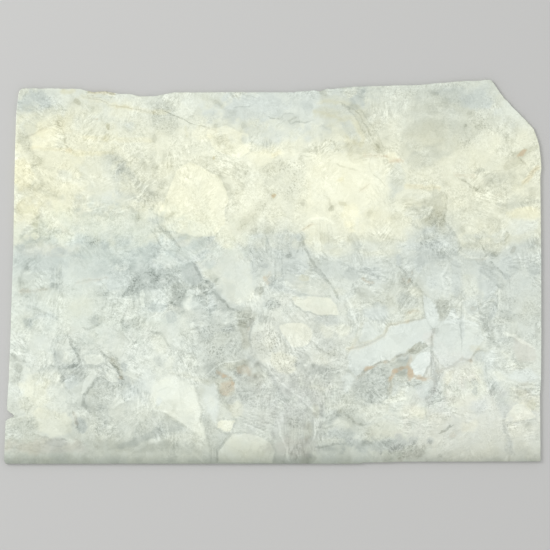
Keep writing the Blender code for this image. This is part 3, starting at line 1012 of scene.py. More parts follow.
hairs(
    (2.2, -7, 0, 0, 305, 222, 313, 218, 324, 217, 333, 222),
    (2.6, -9, 0, 0, 349, 301, 352, 312, 356, 322))
report("middle, right of centre")

# %% [markdown]
# The right of the middle has a brown, grainy wedge with a cut upper side, fan-like
# sagging lines below it and the straight lower side of the warm stone.

# %% Middle right
for lift in (0, 5, 10):
    hair([(430, 232 + lift), (441, 237 + lift), (450, 246 + lift), (462, 254 + lift)], 2, -9)
    vein([(427, 237 + lift), (438, 242 + lift), (450, 252 + lift), (460, 258 + lift)], 1.8, 8)
for lift in (0, 4, 8):
    vein([(510, 258 + lift), (522, 261 + lift), (540, 256 + lift)], 1.6, 9)
    hair([(509, 256 + lift), (522, 258 + lift), (540, 253 + lift)], 1.6, -7)
clouds(
    (430, 203, 9, 5, -7, 1), (437, 220, 12, 8, -10, 1, 0.6), (439, 209, 6, 7, -7, 2),
    (418, 212, 14, 6, 0, -4), (412, 205, 12, 8, -7, 1, 0, -35), (438, 231, 14, 7, -5, 0, 0.5, -25),
    (407, 230, 8, 7, 6), (421, 240, 5, 9, -2, 2, 0.5), (428, 257, 18, 8, -9, -2, 0, 0, 0.3),
    (427, 238, 9, 7, 9, 3, 0, 0, -0.6), (421, 262, 7, 5, -6, -7), (441, 255, 14, 5, -9, 0, 0.3),
    (469, 265, 10, 4, -8), (489, 272, 9, 5, -12, -2, 0, -30), (506, 264, 6, 7, -2, -12),
    (534, 268, 9, 6, -10, -3), (514, 267, 6, 6, -7, -3), (499, 222, 2, 7, -9, 0, 0, 20),
    (485, 236, 9, 4, -9, -4), (470, 239, 11, 4, -7, -3), (460, 248, 12, 7, -12),
    (464, 258, 8, 4, -8), (498, 237, 8, 6, 0, -5), (500, 240, 12, 5, -7, 1),
    (480, 245, 14, 4, -7, 0, 0.2), (475, 210, 12, 8, -3, 0, 0.3), (520, 226, 18, 9, 3, -4),
    (531, 243, 11, 5, -9, -2), (525, 213, 18, 6, 2, 8))
bands((5, -14, -2, 0, 500, 204, 512, 206, 524, 204, 539, 202))
patches(
    # wedge
    (2.5, -10, 1, 411, 206, 418, 201, 431, 196, 444, 194, 446, 206, 446, 222, 438, 227, 430, 228,
     424, 221, 416, 213))
spots(
    (427, 218, 6, 3, -9, 0, 0, 40), (418, 268, 4, 4, -10, -5), (495, 254, 3.4, 3, -27),
    (507, 275, 4, 4, -12, -6), (501, 286, 4, 3, -16), (513, 251, 2.2, 4, -21, 0, 0.22, -20),
    (463, 229, 2.8, 3.4, -17), (496, 229, 4, 2, -12), (503, 208, 4, 4, -13, 0, 0, -40))
spot(492, 221, 5, 5, -10, turn=-50, speckle=0.4)
spot(432, 240, 6, 6, -10, speckle=0.5)
veins(
    (2.6, 13, 0, 0, 446, 195, 446, 207, 445, 222),
    (3.2, 12, -2, 0, 446, 224, 452, 231, 457, 240, 460, 247),
    (2.7, 9, 0, 0, 414, 226, 423, 230, 425, 238, 422, 247),
    (2.4, 8, 0, 0, 440, 259, 455, 258, 470, 261, 484, 260),
    (2.6, 17, 0, 0, 484, 249, 487, 253, 484, 259), (2, 13, 0, 0, 489, 250, 494, 254),
    # brown edge
    (3.2, 13, 1, 0, 477, 262, 486, 264, 493, 268, 500, 271),
    (1.8, 22, 0, 0.06, 492, 262, 497, 267, 502, 272),
    (3.2, 9, -3, 0, 480, 270, 490, 277, 499, 287), (2, 11, 0, 0.05, 507, 232, 510, 235, 506, 240))
hairs(
    (2, -14, 0, 0, 424, 218, 429, 213, 432, 208),
    (1.7, -10, 3, 0, 459, 252, 468, 258, 480, 258, 488, 257),
    (1.2, 4, 0, 0.18, 475, 260, 486, 258))
report("middle right")

# %% [markdown]
# Under the wedge lie greenish and blue fields between soft upright stripes, a pale
# bar, a small dark triangle, and white flecks up to the right edge.

# %% Lower part of the middle right
for x, y in ((487, 322), (489, 329), (486, 312), (490, 301), (492, 337)):
    spot(x, y, 2, 2.4, -11)
clouds(
    (407, 301, 10, 9, -9, -2, 0.3), (414, 293, 8, 5, 2, 3), (441, 281, 20, 14, 3, -2),
    (432, 282, 6, 6, -3, -3, 0.6), (430, 271, 10, 4, -6), (421, 280, 7, 7, -8),
    (386, 287, 8, 6, 6), (489, 290, 7, 10, -3, -7), (487, 313, 8, 20, -8, -3), (491, 335, 7, 6, 8),
    (460, 294, 7, 6, -8, -1), (457, 317, 8, 4, 3), (470, 318, 8, 9, 4), (470, 307, 8, 6, -5, -4),
    (517, 292, 22, 18, 2, 0, 0.2), (514, 318, 8, 4, -9, 0, 0.4), (508, 300, 8, 4, -5, 0, 0.5),
    (530, 315, 10, 12, -3, 1, 0.5))
cloud(444, 306, 6, 6, speckle=0.6, rust=0.06)
clouds((406, 278, 8, 9, -8, 0, 0.4), (404, 284, 6, 7, -8, 0, 0.2), rust=0.08)
bands(
    (4, -8, -2, 0, 481, 272, 481, 286, 480, 298),
    (3.2, -12, 0, 0.32, 407, 314, 411, 312, 417, 312))
band([(455, 264), (457, 277), (456, 292)], 9, tone=-6, yellow=-4, calm=0.4)
patches(
    (3.5, 4, 3, 463, 275, 472, 273, 479, 279, 479, 294, 473, 299, 465, 294),
    # beige
    (3.5, 1, 4, 404, 312, 416, 309, 423, 313, 423, 319, 412, 322, 404, 323))
clasts(
    # pale bar
    (6, -5, 423, 296, 431, 299, 437, 310, 439, 322, 434, 329, 427, 320, 424, 308),
    (-24, 1, 433, 299, 450, 300, 447, 311, 441, 322, 437, 312))
chips((5, -4, 452, 307, 458, 316, 464, 323, 444, 323, 448, 315))
spots(
    (411, 273, 1.6, 3, -18, 0, 0.4), (409, 280, 1.6, 3, -12, 0, 0.3),
    (402, 281, 1.4, 3, -12, 0, 0.1), (473, 309, 3.4, 3, -14, 0, 0.2), (505, 314, 6, 4, -15, -1))
veins(
    (2.4, 14, 0, 0, 401, 268, 406, 276, 413, 284, 421, 291),
    (2.2, 16, 0, 0, 416, 283, 421, 290, 425, 296), (1.6, 8, 0, 0, 448, 268, 443, 276, 449, 284),
    (2.4, 11, -3, 0, 495, 297, 496, 306, 493, 317), (2.4, 13, 0, 0, 479, 310, 481, 319, 486, 330),
    (1.4, 9, 0, 0, 422, 297, 424, 309, 428, 321, 434, 330),
    (2.4, 11, 0, 0, 451, 302, 452, 309, 458, 317),
    (1.4, 13, 0, 0, 462, 300, 461, 313, 461, 325, 462, 347))
hairs(
    (2, -7, 0, 0, 447, 265, 441, 275, 443, 284), (1.5, 7, 0, 0, 469, 282, 472, 288, 474, 293),
    (1.5, 8, 0, 0, 451, 306, 446, 315, 440, 324), (1.3, -6, 0, 0, 464.5, 301, 464, 315, 464, 330))
report("lower part of the middle right")

# %% [markdown]
# The lower left is pale and cloudy. A grey blade with a dark left side leans there,
# above it lie round cream clasts, and the face is painted darker towards the sawn
# lower edge, as painted shade.

# %% Lower left
for x in (50, 54, 58, 62):
    hair([(x, 348), (x + 4, 341), (x + 7, 333)], 1.2, 9)
for x in (98, 102, 107):
    hair([(x, 350), (x + 6, 357)], 1.2, 12)
for lift in (0, 7, 13):
    vein([(13, 434 + lift), (26, 436 + lift), (44, 441 + lift)], 2, 5)
clouds(
    (30, 326, 9, 5, -8, -2, 0, -50), (126, 326, 4.5, 8, -9, -1, 0.3, 25),
    (127, 335, 9, 7, -10, 0, 0, -45, -0.7), (92, 340, 6, 8, 1, 1),
    (64, 364, 12, 6, -6, 0, 0, 0, -0.9), (67, 356, 6, 5, 12, 1),
    (48, 350, 14, 5, 3, 0, 0, 0, -0.3), (62, 375, 3.4, 8, -12, -2, 0.3),
    (80, 376, 7, 6, -12, -2, 0.3), (71, 383, 6, 8, -2, -6, 0, -30), (105, 355, 12, 6, 7),
    (36, 391, 14, 11, 9, 3, 0, 0, 0.5), (35, 380, 4, 7, -9, -1, 0.4, -30), (39, 383, 3, 3, 6, -2),
    (98, 392, 8, 9, 2, 0, 0.2, -50), (113, 386, 9, 5, -4, 0, 0.3),
    (106, 400, 9, 9, 4, 0, 0, 0, -0.5), (78, 405, 6, 7, -8), (103, 415, 8, 10, -2, -1),
    (71, 447, 8, 5, -8), (57, 335, 8, 6, 6), (113, 358, 7, 3, -7, 0, 0, -40),
    (130, 350, 12, 8, 3, 0, 0.3), (25, 427, 14, 8, -13, 1, 0, 0, -0.4), (84, 413, 6, 4, 8, 1),
    (58, 443, 10, 4, -12, -3), (27, 444, 20, 9, -6, 2, 0, -8), (90, 445, 12, 8, -7, 0, 0.3))
cloud(93, 358, 8, 2, tone=-5, rust=0.03)
cloud(70, 402, 3, 8, tone=-7, rust=0.04)
cloud(24, 458, 14, 3, rust=0.08, tone=-2)
cloud(66, 396, 3, 3, rust=0.1)
bands((5, -11, 3, 0.1, 112, 361, 117, 367, 121, 377), (5, -8, -2, 0, 128, 386, 136, 394, 146, 402))
bands(
    (6, -3, -1, 0, 50, 350, 55, 342, 62, 337, 70, 338),
    (4, -11, -2, 0, 40, 370, 52, 366, 64, 366, 84, 367, 100, 367), speckle=0.3)
patches(
    (3.5, 7, 2, 52, 371, 60, 373, 61, 381, 56, 387, 50, 384),
    # blade
    (2, -9, -1, 100, 377, 109, 381, 114, 389, 113, 398, 107, 405, 99, 410, 90, 411, 82, 406, 83,
     396, 89, 385), (3.5, 5, 0, 121, 360, 130, 356, 133, 366, 127, 372, 126, 365),
    (2.5, -22, -7, 77, 419, 84, 419, 87, 427, 83, 432, 79, 432, 77, 426))
patches(
    (3.5, 7, 4, 32, 412, 38, 405, 50, 411, 64, 413, 73, 421, 72, 433, 52, 438, 40, 432), calm=0.5)
clasts(
    (10, 2, 84, 357, 92, 354, 102, 355, 104, 361, 97, 365, 86, 364),
    (6, 1, 24, 364, 30, 372, 34, 383, 33, 398, 24, 397, 18, 385, 20, 374),
    (9, 0, 92, 369, 97, 373, 92, 383, 86, 392, 80, 396, 82, 385),
    (9, 2, 106, 372, 113, 370, 119, 377, 117, 383, 109, 382, 105, 378))
spots(
    (100, 320, 4, 3, -12), (79, 345, 4, 5, -10), (59, 355, 5, 4, -17, -2),
    (78, 374, 5, 5, -8, 0, 0, -30), (14, 358, 4, 4, -13, 0, 0.06),
    (119, 378, 2.6, 2, -17, 0, 0.25), (124, 367, 3, 5, -17, -4), (14, 409, 6, 5, -8))
spot(66, 455, 4, 6, -8, speckle=0.2)
spots((16, 378, 5, 3, -10), (125, 382, 5, 6, -11, -2, 0, -45), (57, 455, 6, 6, -8), speckle=0.3)
spot(19, 368, 4.5, 4, -17, speckle=0.4)
veins(
    (2.2, 14, 0, 0, 85, 329, 90, 328.5, 97, 324), (1.5, 7, 0, 0, 118, 330, 128, 338, 133, 345),
    (3.2, 18, -1, 0, 69, 338, 74, 347, 78, 355, 80, 365),
    (2.9, 11, -3, 0, 55, 352, 56, 360, 64, 364, 75, 366),
    (2.4, 9, 0, 0, 62, 381, 67, 390, 72, 394), (2.4, 13, 0, 0, 12, 355, 16, 360, 25, 362),
    (3.2, 16, -1, 0, 98, 378, 89, 387, 84, 397, 83, 405, 88, 410),
    (3.2, 11, 0, 0, 107, 360, 113, 361, 119, 365),
    (2.4, 22, 0, 0.06, 102, 351, 109, 360, 115, 368, 121, 378),
    (2.2, 9, 0, 0, 28, 400, 31, 405, 28, 411), (2, 11, 0, 0, 15, 418, 20, 415, 24, 413),
    (2.7, 11, 0, 0, 28, 425, 32, 421, 34, 417), (2.2, 9, 0, 0, 27, 431, 34, 428),
    (2.4, 16, 0, 0.25, 74, 413, 76, 418, 77, 424),
    (2, 12, 0, 0, 34, 434, 42, 437, 52, 439, 64, 441))
vein([(41, 374), (46, 381), (47, 388), (41, 389)], 2.4, 9, speckle=0.3)
hairs(
    (2, -9, 0, 0, 119, 324, 127, 334, 134, 344), (2.4, -9, 0, 0, 12, 352, 24, 354),
    (2.6, -10, 0, 0, 119, 391, 115, 398), (3, -10, 0, 0, 113, 406, 119, 401, 127, 399))
report("lower left")

# %% [markdown]
# A big white kite-shaped clast fills the middle of the lower left, ringed by grey
# fibres, with a dark triangle below its long lower side.

# %% Lower middle left
clouds(
    (182, 402, 20, 22, 0, 0, 0, 0, 0.5), (169, 405, 8, 8, -9), (159, 402, 3, 6, -3, -6),
    (140, 388, 9, 8, -5, -3), (130, 393, 8, 8, 0, -3, 0, 0, -0.5), (146, 405, 10, 7, 9),
    (127, 406, 8, 5, 6), (174, 364, 7, 6, -5), (145, 349, 8, 7, -7), (191, 361, 6, 8, 2, 1, 0.8),
    (141, 340, 10, 12, 2, 0, 0.4), (139, 323, 7, 8, -6, 0, 0.6), (152, 326, 10, 5, -2, 1),
    (205, 336, 9, 8, -5, 0, 0.6), (222, 330, 15, 9, -4, 0, 0.7), (227, 329, 7, 4, -9, -2),
    (214, 350, 12, 7, 0, 0, 0.7), (236, 347, 10, 8, -7, 0, 0.6), (219, 361, 16, 6, -5, 0, 0.6),
    (210, 328, 10, 7, 9), (197, 383, 6, 5, 6), (203, 370, 8, 5, -9), (197, 342, 8, 6, -7),
    (239, 355, 8, 5, -7), (212, 371, 8, 7, -10, 0, 0.4), (157, 433, 24, 6, -9, -1, 0, 6),
    (182, 438, 14, 5, 0, 1, 0.2), (170, 448, 30, 6, -7, 0, 0.3, -8),
    (190, 446, 10, 4, -7, 0, 0, -30), (138, 446, 44, 7, -12), (113, 433, 12, 6, -8))
cloud(190, 335, 10, 9, tone=-2, speckle=0.7, rust=0.02)
bands((6, -12, -2, 0, 120, 448, 136, 441, 150, 436, 160, 431))
patches(
    (4, 5, -1, 141, 374, 150, 368, 158, 375, 154, 388, 150, 398, 140, 388),
    (2.5, -16, -2, 154, 356, 159, 358, 164, 364, 161, 367, 155, 361),
    (2.5, -17, 0, 177, 353, 184, 351, 185, 357, 181, 363, 177, 359),
    (3.5, 4, 2, 151, 335, 162, 334, 167, 343, 166, 353, 154, 351, 151, 344),
    (3.5, 7, 3, 165, 363, 170, 356, 175, 360, 173, 370, 166, 369))
patches(
    # kite
    (3.5, 12, 2, 166, 377, 172, 375, 180, 378, 188, 381, 194, 386, 196, 394, 199, 403, 203, 410,
     201, 418, 203, 425, 206, 440, 197, 434, 188, 427, 177, 420, 164, 412, 154, 406, 150, 396,
     153, 383), calm=0.4)
clasts(
    # dark triangle
    (-13, -1, 164, 415, 174, 420, 186, 428, 178, 432, 166, 432, 153, 430))
veins(
    (2.4, 10, 0, 0, 193, 383, 197, 392, 199, 403, 203, 411, 201, 420),
    (2.4, 6, 2, 0.04, 170, 373, 184, 374, 196, 379, 207, 381),
    (2.4, 12, 0, 0, 152, 332, 161, 333, 166, 340, 169, 347),
    (2.6, 12, 0, 0.06, 165, 414, 171, 418, 185, 426))
hairs(
    (2.2, -7, 0, 0, 158, 411, 168, 412, 175, 416), (1.5, 5, 0, 0, 158, 391, 166, 387),
    (4, -7, 0, 0, 136, 449, 146, 443, 158, 438), (3, -5, 0, 0, 188, 449, 196, 454, 202, 460))
report("lower middle left")

# %% [markdown]
# Beside it a dark strip bends round a small cream star and a flat beige clast, and
# the largest rust patch lies above them, in a grey field of short fibres.

# %% Lower middle
for y in (390, 394, 398):
    vein([(236, y), (246, y + 1), (260, y - 1), (271, y + 1)], 1.6, 9)
for x, y in ((250, 424), (258, 427), (264, 421), (246, 418), (270, 424), (256, 415)):
    vein([(x - 7, y - 2), (x, y), (x + 7, y + 3)], 1.8, 8)
    hair([(x - 6, y), (x, y + 2), (x + 7, y + 5)], 1.6, -8)
clouds(
    (224, 402, 5, 7, -8, 0, 0, -25), (262, 372, 12, 8, -20, 1, 0, -50),
    (276, 386, 6, 7, -10, 0, 0, -50), (211, 447, 5, 6, 6), (236, 365, 16, 5, -14, 4, 0.2, 12),
    (258, 379, 9, 8, -4, 2, 0.4), (249, 362, 7, 4, -9), (264, 341, 12, 16, 0, 0, 0.9),
    (266, 373, 3, 5, 3), (261, 396, 24, 12, -4, -1, 0.4), (236, 410, 6, 6, 0, 0, 0.4),
    (240, 420, 9, 5, -8), (211, 404, 8, 18, 0, 0, 0, 12, 0.8), (211, 404, 4, 8, 3, 3, 0, 15),
    (246, 446, 24, 12, -2, 1, 0, 0, 1.0), (224, 458, 8, 4, -5))
cloud(227, 388, 8.5, 9, rust=0.45, ragged=0.3)
cloud(245, 370, 10, 6, turn=-15, rust=0.4, tone=-15, ragged=0.5)
cloud(254, 371, 8, 6, rust=0.05, tone=-8, calm=0.5)
bands((3.4, -14, 0, 0.5, 217, 372, 222, 374, 229, 377, 233, 383))
patches(
    # rust patch
    (2.5, -8, 3, 217, 377, 224, 379, 231, 378, 235, 385, 234, 394, 227, 397, 219, 393),
    (3.5, 3, 2, 253, 325, 264, 322, 275, 328, 276, 345, 272, 362, 259, 361, 252, 345),
    (3.5, 7, 5, 229, 406, 237, 402, 243, 405, 242, 415, 234, 417, 229, 412),
    # pale strip
    (3.5, 7, -3, 204, 386, 214, 384, 217, 393, 219, 404, 219, 417, 216, 424, 212, 419, 208, 408,
     202, 397))
clasts(
    # dark strip
    (-11, -1, 203, 412, 208, 417, 214, 424, 219, 430, 229, 434, 223, 444, 217, 450, 211, 449, 206,
     440, 203, 426),
    # star
    (14, 6, 217, 428, 219, 421, 226, 420, 236, 421, 232, 426, 231, 432, 224, 431),
    # beige clast
    (8, 2, 233, 434, 250, 433, 262, 437, 270, 443, 274, 454, 272, 463, 218, 463, 219, 450, 226,
     443))
spots(
    (224, 375.5, 3, 2.6, -19, 0, 0.6), (222, 397, 3, 4, -10, 0, 0.12),
    (249, 329.5, 2, 2.6, -8, 0, 0.35), (206, 419, 4, 5, -12))
spot(212, 379, 6, 4, -9, yellow=1, speckle=0.4)
veins(
    (4, 11, 1, 0, 217, 384, 220, 393, 224, 402, 231, 411),
    (4.8, 6, -2, 0, 250, 358, 260, 363, 268, 372, 274, 384),
    (1.8, 13, 0, 0, 252, 325, 250, 338, 251, 352, 256, 360),
    (2.7, 8, 0, 0, 240, 330, 245, 340, 251, 349), (2.4, 11, 0, 0, 216, 429, 222, 432, 229, 435),
    (2.6, 13, 0, 0, 229, 434, 224, 443, 218, 450),
    (2.2, 9, 0, 0, 203, 428, 207, 440, 211, 450, 211, 460), (2.2, 11, 0, 0, 217, 450, 218, 460),
    (1.4, 8, 0, 0, 230, 433, 243, 432, 250, 434))
hairs(
    (1.3, -13, 0, 0, 207, 374, 215, 368, 225, 363, 238, 359),
    (1.5, -9, 0, 0, 264, 364, 276, 378, 290, 390))
report("lower middle")

# %% [markdown]
# Right of the middle the stone is a weave of fibres running many ways, broken by
# pale clasts and by upright grey-brown strands that run down to the edge.

# %% Lower middle right
for y in (372, 376, 380, 384, 388, 392, 396):
    hair([(322, y), (333, y + 1), (344, y)], 1.3, -5)
    vein([(324, y + 2), (334, y + 3), (344, y + 2)], 1.3, 5)
for x in (286, 292, 298, 303):
    vein([(x, 372), (x + 6, 380), (x + 9, 392)], 1.5, 8)
    hair([(x + 3, 372), (x + 9, 380), (x + 12, 392)], 1.4, -7)
for shift in (0, 5, 10, 15):
    drop = shift / 2
    hair([(318 + shift, 424 - drop), (326 + shift, 413 - drop), (337 + shift, 404)], 1.6, -9)
    vein([(320 + shift, 426 - drop), (328 + shift, 416 - drop)], 1.7, 9)
for x, low in ((290, 436), (297, 446), (303, 440), (308, 452), (312, 446), (285, 450)):
    vein([(x, 418), (x + 1, low - 10), (x - 1, low + 12)], 2, 6, rust=0.03)
clouds(
    (315, 343, 6, 4, 4), (319, 330, 5, 8, -9, -1), (328, 345, 13, 7, -10, -1, 0.2),
    (333, 352, 10, 6, -6, 0, 0.7), (276, 340, 7, 12, 0, 0, 0.6), (285, 363, 14, 11, 0, 0, 1.0),
    (301, 358, 6, 7, -10, -1, 0.3, -40), (310, 369, 11, 5, -23, -1, 0, 0, 0.6),
    (328, 375, 11, 7, -12, -1, 0.2), (334, 369, 9, 8, -6, 0, 0.4), (310, 384, 18, 12, -2, 0, 0.4),
    (311, 398, 11, 7, 13, 0, 0, 0, -0.6), (281, 420, 5, 10, 7), (311, 413, 7, 6, -8),
    (285, 395, 12, 10, -7, -2, 0, -40), (330, 417, 9, 8, -16, -3, 0, -40),
    (343, 408, 12, 10, -5, 0, 0.6), (302, 436, 10, 20, -5, 0, 0.3), (293, 422, 6, 8, -7, 0, 0.7),
    (271, 440, 4, 14, -7), (340, 434, 15, 6, -12, -4), (366, 431, 6, 10, -7),
    (345, 455, 34, 8, -4, -2))
cloud(316, 411, 3, 7, turn=12, tone=-5, yellow=4, rust=0.05)
clouds((308, 430, 4.5, 9, -1, 3, 0, 0, 0.6), (302, 443, 6, 8, -4, 0, 0, 0, 0.4), rust=0.06)
patches(
    (3.5, 4, 3, 321, 328, 328, 326, 333, 330, 332, 336, 326, 337, 322, 334),
    (3.5, 7, 4, 335, 328, 343, 325, 350, 328, 350, 335, 341, 335, 336, 333),
    (3.5, 5, 5, 272, 352, 283, 354, 296, 357, 297, 368, 289, 377, 277, 373, 271, 362),
    (2.5, -3, 2, 311, 353, 319, 354, 327, 362, 326, 367, 318, 366, 313, 361),
    (3.5, 9, -3, 341, 376, 349, 374, 353, 378, 352, 386, 349, 394, 345, 394, 342, 385),
    (3.5, 9, 2, 333, 421, 340, 419, 350, 421, 352, 426, 342, 426, 335, 425),
    (3.5, 15, -1, 281, 410, 285, 412, 285, 421, 281, 422, 280, 416),
    (3.5, 10, 0, 347, 434, 361, 433, 363, 439, 358, 444, 347, 443))
clasts((8, 4, 278, 327, 292, 323, 306, 325, 313, 332, 311, 341, 303, 347, 291, 347, 284, 338))
spots(
    (349, 371, 4, 2, -14), (308, 399, 4, 4, -12, 0, 0.06), (357, 422, 6, 3, -13, 0, 0.06),
    (368, 442, 5, 1.8, -14, 0, 0.15), (386, 442.5, 6, 2.2, -16), (308, 459, 5, 3, -6, 0, 0.08))
spot(388, 456, 5, 5, -13, speckle=0.4)
veins(
    (2.8, 13, 0, 0, 311, 341, 317, 347, 325, 352), (2.4, 9, 0, 0, 297, 352, 301, 358, 306, 363),
    (2.6, 9, 0, 0, 303, 353, 310, 360, 314, 366), (2.4, 8, -1, 0, 272, 377, 280, 391, 287, 400),
    (2.4, 15, 0, 0.1, 344, 413, 350, 417, 355, 422, 362, 423),
    (2.4, 11, 0, 0, 318, 427, 327, 428, 333, 426), (2.4, 13, -2, 0, 318, 447, 330, 445, 340, 444))
hairs(
    (3, -9, 2, 0, 311, 388, 322, 389, 335, 387), (2.2, -13, 0, 0, 291, 389, 300, 397, 314, 410),
    (1.6, -10, 0, 0, 297, 386, 305, 395, 311, 403),
    (2.4, -9, 0, 0, 279, 424, 281, 436, 285, 445, 288, 458),
    (1.8, -10, 0, 0, 314, 422, 316, 432, 313, 441))
report("lower middle right")

# %% [markdown]
# The pale-blue clast ends in a rusty line. Beneath it runs a dark grey patch with a
# salmon-coloured arc, the most striking marking of the slab.

# %% Lower right, the pale-blue clast and the rust arc
streaks = [(362, 378), (366, 386), (371, 374), (374, 383), (378, 392), (382, 374)]
for x, y in streaks + [(384, 385), (368, 394)]:
    vein([(x - 4, y + 2), (x, y - 1), (x + 4, y - 3)], 1.8, 6)
    hair([(x - 4, y - 1), (x + 1, y - 4), (x + 5, y - 5)], 1.5, -6)
salmon = [(388, 394), (390, 386), (391, 378), (395, 371), (402, 367), (408, 368), (412, 374)]
salmon += [(417, 377), (425, 379)]
vein(salmon[:3], 2, 14, rust=0.16, yellow=3)
vein(salmon[2:4], 2.4, 11, rust=0.45)
vein(salmon[3:7], 3.4, 8, rust=0.5)
vein(salmon[6:], 2.4, 8, rust=0.45)
for x, top, low in ((431, 358, 374), (433.5, 350, 392), (436, 362, 384), (439, 366, 378)):
    hair([(x, top), (x + 0.5, (top + low) / 2), (x, low)], 1.6, 17)
for x, y in ((428, 398), (433, 402), (438, 396), (442, 392), (431, 392), (446, 398)):
    spot(x, y, 2.2, 1.8, -13)
clouds(
    (398, 340, 40, 15, 0, 0, 0, 20, 1.0), (366, 335, 12, 9, 0, 0, 0, 0, 1.0), (364, 363, 7, 4, 6),
    (358, 357, 12, 14, 0, 0, 0, 0, 1.0), (386, 370, 6, 5, -7), (372, 383, 18, 16, 0, 0, 0.25),
    (351, 398, 8, 8, -9), (401, 360, 9, 4, -2, 0, 0, 15), (402, 358, 7, 5, -10, -3),
    (440, 378, 5, 9, -3, 0, 0.4), (414, 384, 9, 6, -6, 0, 1.0), (403, 391, 6, 4, 2, 1),
    (400, 384, 8, 5, -8), (386, 396, 6, 5, 8))
cloud(401, 374, 7, 3, tone=-13, rust=0.06)
cloud(430, 337, 7, 7, rust=0.08, warmth=3, calm=0.6)
cloud(391, 384, 6, 9, tone=-15, rust=0.1)
clouds((386, 362.5, 3, 1.6), (411, 375, 4, 4, -6), rust=0.3)
cloud(370, 368, 5, 2.2, turn=15, rust=0.5, tone=-4)
patches(
    # textured
    (3, -13, -1, 358, 380, 366, 372, 376, 367, 390, 363, 392, 372, 390, 384, 386, 395, 379, 400,
     368, 400, 356, 398, 352, 390),
    (5, -4, 0, 352, 386, 366, 376, 380, 384, 388, 396, 374, 402, 360, 398),
    # dark wedge
    (3, -8, -3, 432, 358, 435, 366, 438, 377, 437, 389, 433, 399, 429, 390, 430, 376),
    (3, -10, 2, 394, 374, 404, 371, 410, 376, 407, 384, 397, 382),
    (3.5, 3, -5, 416, 386, 428, 384, 430, 395, 422, 401, 416, 394))
patches((3, 8, 3, 378, 401, 388, 399, 402, 392, 404, 399, 396, 402, 386, 404), calm=-0.8)
patches(
    # dark field
    (2.5, -25, 0, 390, 364, 398, 358, 408, 356, 410, 364, 411, 374, 405, 378, 396, 376), calm=0.5)
clasts(
    # pale blue
    (2, -4, 350, 369, 346, 357, 353, 345, 364, 344, 376, 340, 386, 332, 390, 325, 407, 324, 424,
     318, 436, 320, 434, 334, 424, 342, 412, 347, 406, 353, 398, 355, 389, 360, 376, 363, 366,
     369, 358, 377), (1, -2, 357, 333, 362, 323, 378, 320, 386, 322, 382, 333, 371, 341, 360, 342),
    # grey leaf
    (-32, 3, 407, 354, 412, 346, 418, 342, 426, 342, 429, 345, 426, 348, 417, 354),
    # white blue
    (10, -6, 414, 358, 420, 353, 430, 351, 432, 360, 427, 368, 423, 376, 419, 378, 414, 372, 412,
     364))
spots((402, 367.5, 4, 1, -24, 0, 0.15), (436, 330, 4, 3, -17, 0, 0.12))
veins(
    # rim
    (2.4, 20, 0, 0.22, 357, 378, 365, 371, 373, 367, 379, 363, 389, 361, 398, 356, 406, 354, 413,
     350), (3, 4, 0, 0.4, 411, 373, 409, 365, 410.5, 357), (2.6, 8, 0, 0.4, 411, 374, 410, 380),
    (2, 12, 0, 0, 424, 376, 430, 366, 431, 358, 432, 350),
    (2.2, 9, 0, 0.04, 431, 346, 432, 337, 435, 329), (2, 14, 0, 0, 408, 383, 414, 387, 420, 384),
    (2.8, 15, -1, 0, 388, 392, 385, 399, 379, 402, 371, 402))
hairs(
    (1.4, 3, 3, 0.12, 352, 345, 358, 338, 361, 324),
    (1.7, 12, 3, 0.22, 348, 349, 362, 346, 375, 341, 384, 335, 387, 327, 392, 324, 407, 322),
    (1.7, 14, 0, 0.16, 407, 322, 418, 320, 426, 317),
    (1.5, -10, 0, 0, 416, 349, 422, 345, 428, 343),
    (1.6, 10, 0, 0.2, 420, 378, 428, 377, 434, 379),
    (1.4, 12, 0, 0, 432, 336, 432.5, 349, 433, 360))
report("lower right, the pale-blue clast and the rust arc")

# %% [markdown]
# To the right of the arc a pale-blue clast with a rust-brown lower line meets the
# big speckled cream field. Lower down everything turns to soft cream and beige.

# %% Lower right
for x, y in ((489, 380), (494, 389), (499, 394), (503, 402), (497, 400)):
    spot(x, y, 2, 2.6, -7, turn=-60)
for lift in (0, 5, 10):
    vein([(511, 386 + lift), (521, 388 + lift), (532, 394 + lift), (540, 396 + lift)], 2.2, 9)
    hair([(512, 389 + lift), (524, 392 + lift), (538, 399 + lift)], 2, -5, yellow=4)
clouds(
    (457, 343, 24, 20, 0, 0, 0, 0, 0.8), (462, 330, 2.4, 16, -7, -3, 0.3),
    (508, 340, 10, 4, -9, -1, 0.5), (466, 375, 16, 10, 4, 0, 0.6), (447, 378, 5, 7, 5, 4),
    (483, 401, 8, 10, 5, -2), (527, 386, 10, 3, -7, 3), (512, 398, 9, 7, -9, -2),
    (522, 430, 14, 7, 8, 2), (508, 446, 5, 8, -7, -2), (434, 396, 9, 8, -7, -2, 0.4, 0, -0.8),
    (449, 392, 7, 6, 7), (436, 392, 2.6, 3, 8, -1), (437, 421, 12, 7, -4, 1, 0, 12),
    (435, 432, 7, 5, -6), (457, 424, 9, 5, -4, 0, 0, -30), (450, 430, 16, 11, 0, 0, 0, 0, 0.7),
    (441, 418, 10, 6, 6, 2), (470, 427, 8, 6, 4, 4), (420, 413, 10, 6, 4, 3),
    (375, 412, 16, 8, 4, 3), (378, 415, 7, 2, -7, 0, 0, 8), (366, 403, 9, 4, -7, 0, 0.5),
    (478, 408, 8, 8, -3, -4, 0.4), (492, 413, 7, 9, 6, 0, 0.2), (485, 432, 18, 10, 2, 0, 0.2),
    (430, 441, 7, 5, 8, 0, 0, 0, 0.8), (480, 450, 26, 10, -2, 1), (524, 449, 10, 7, -7, 0, 0.3))
cloud(383, 444, 38, 7, turn=4, tone=-16, yellow=-5, ragged=0.7, calm=-0.3)
cloud(412, 451, 22, 8, tone=-15, ragged=0.8, calm=-1.2)
cloud(475, 348, 7, 3, rust=0.14, yellow=4)
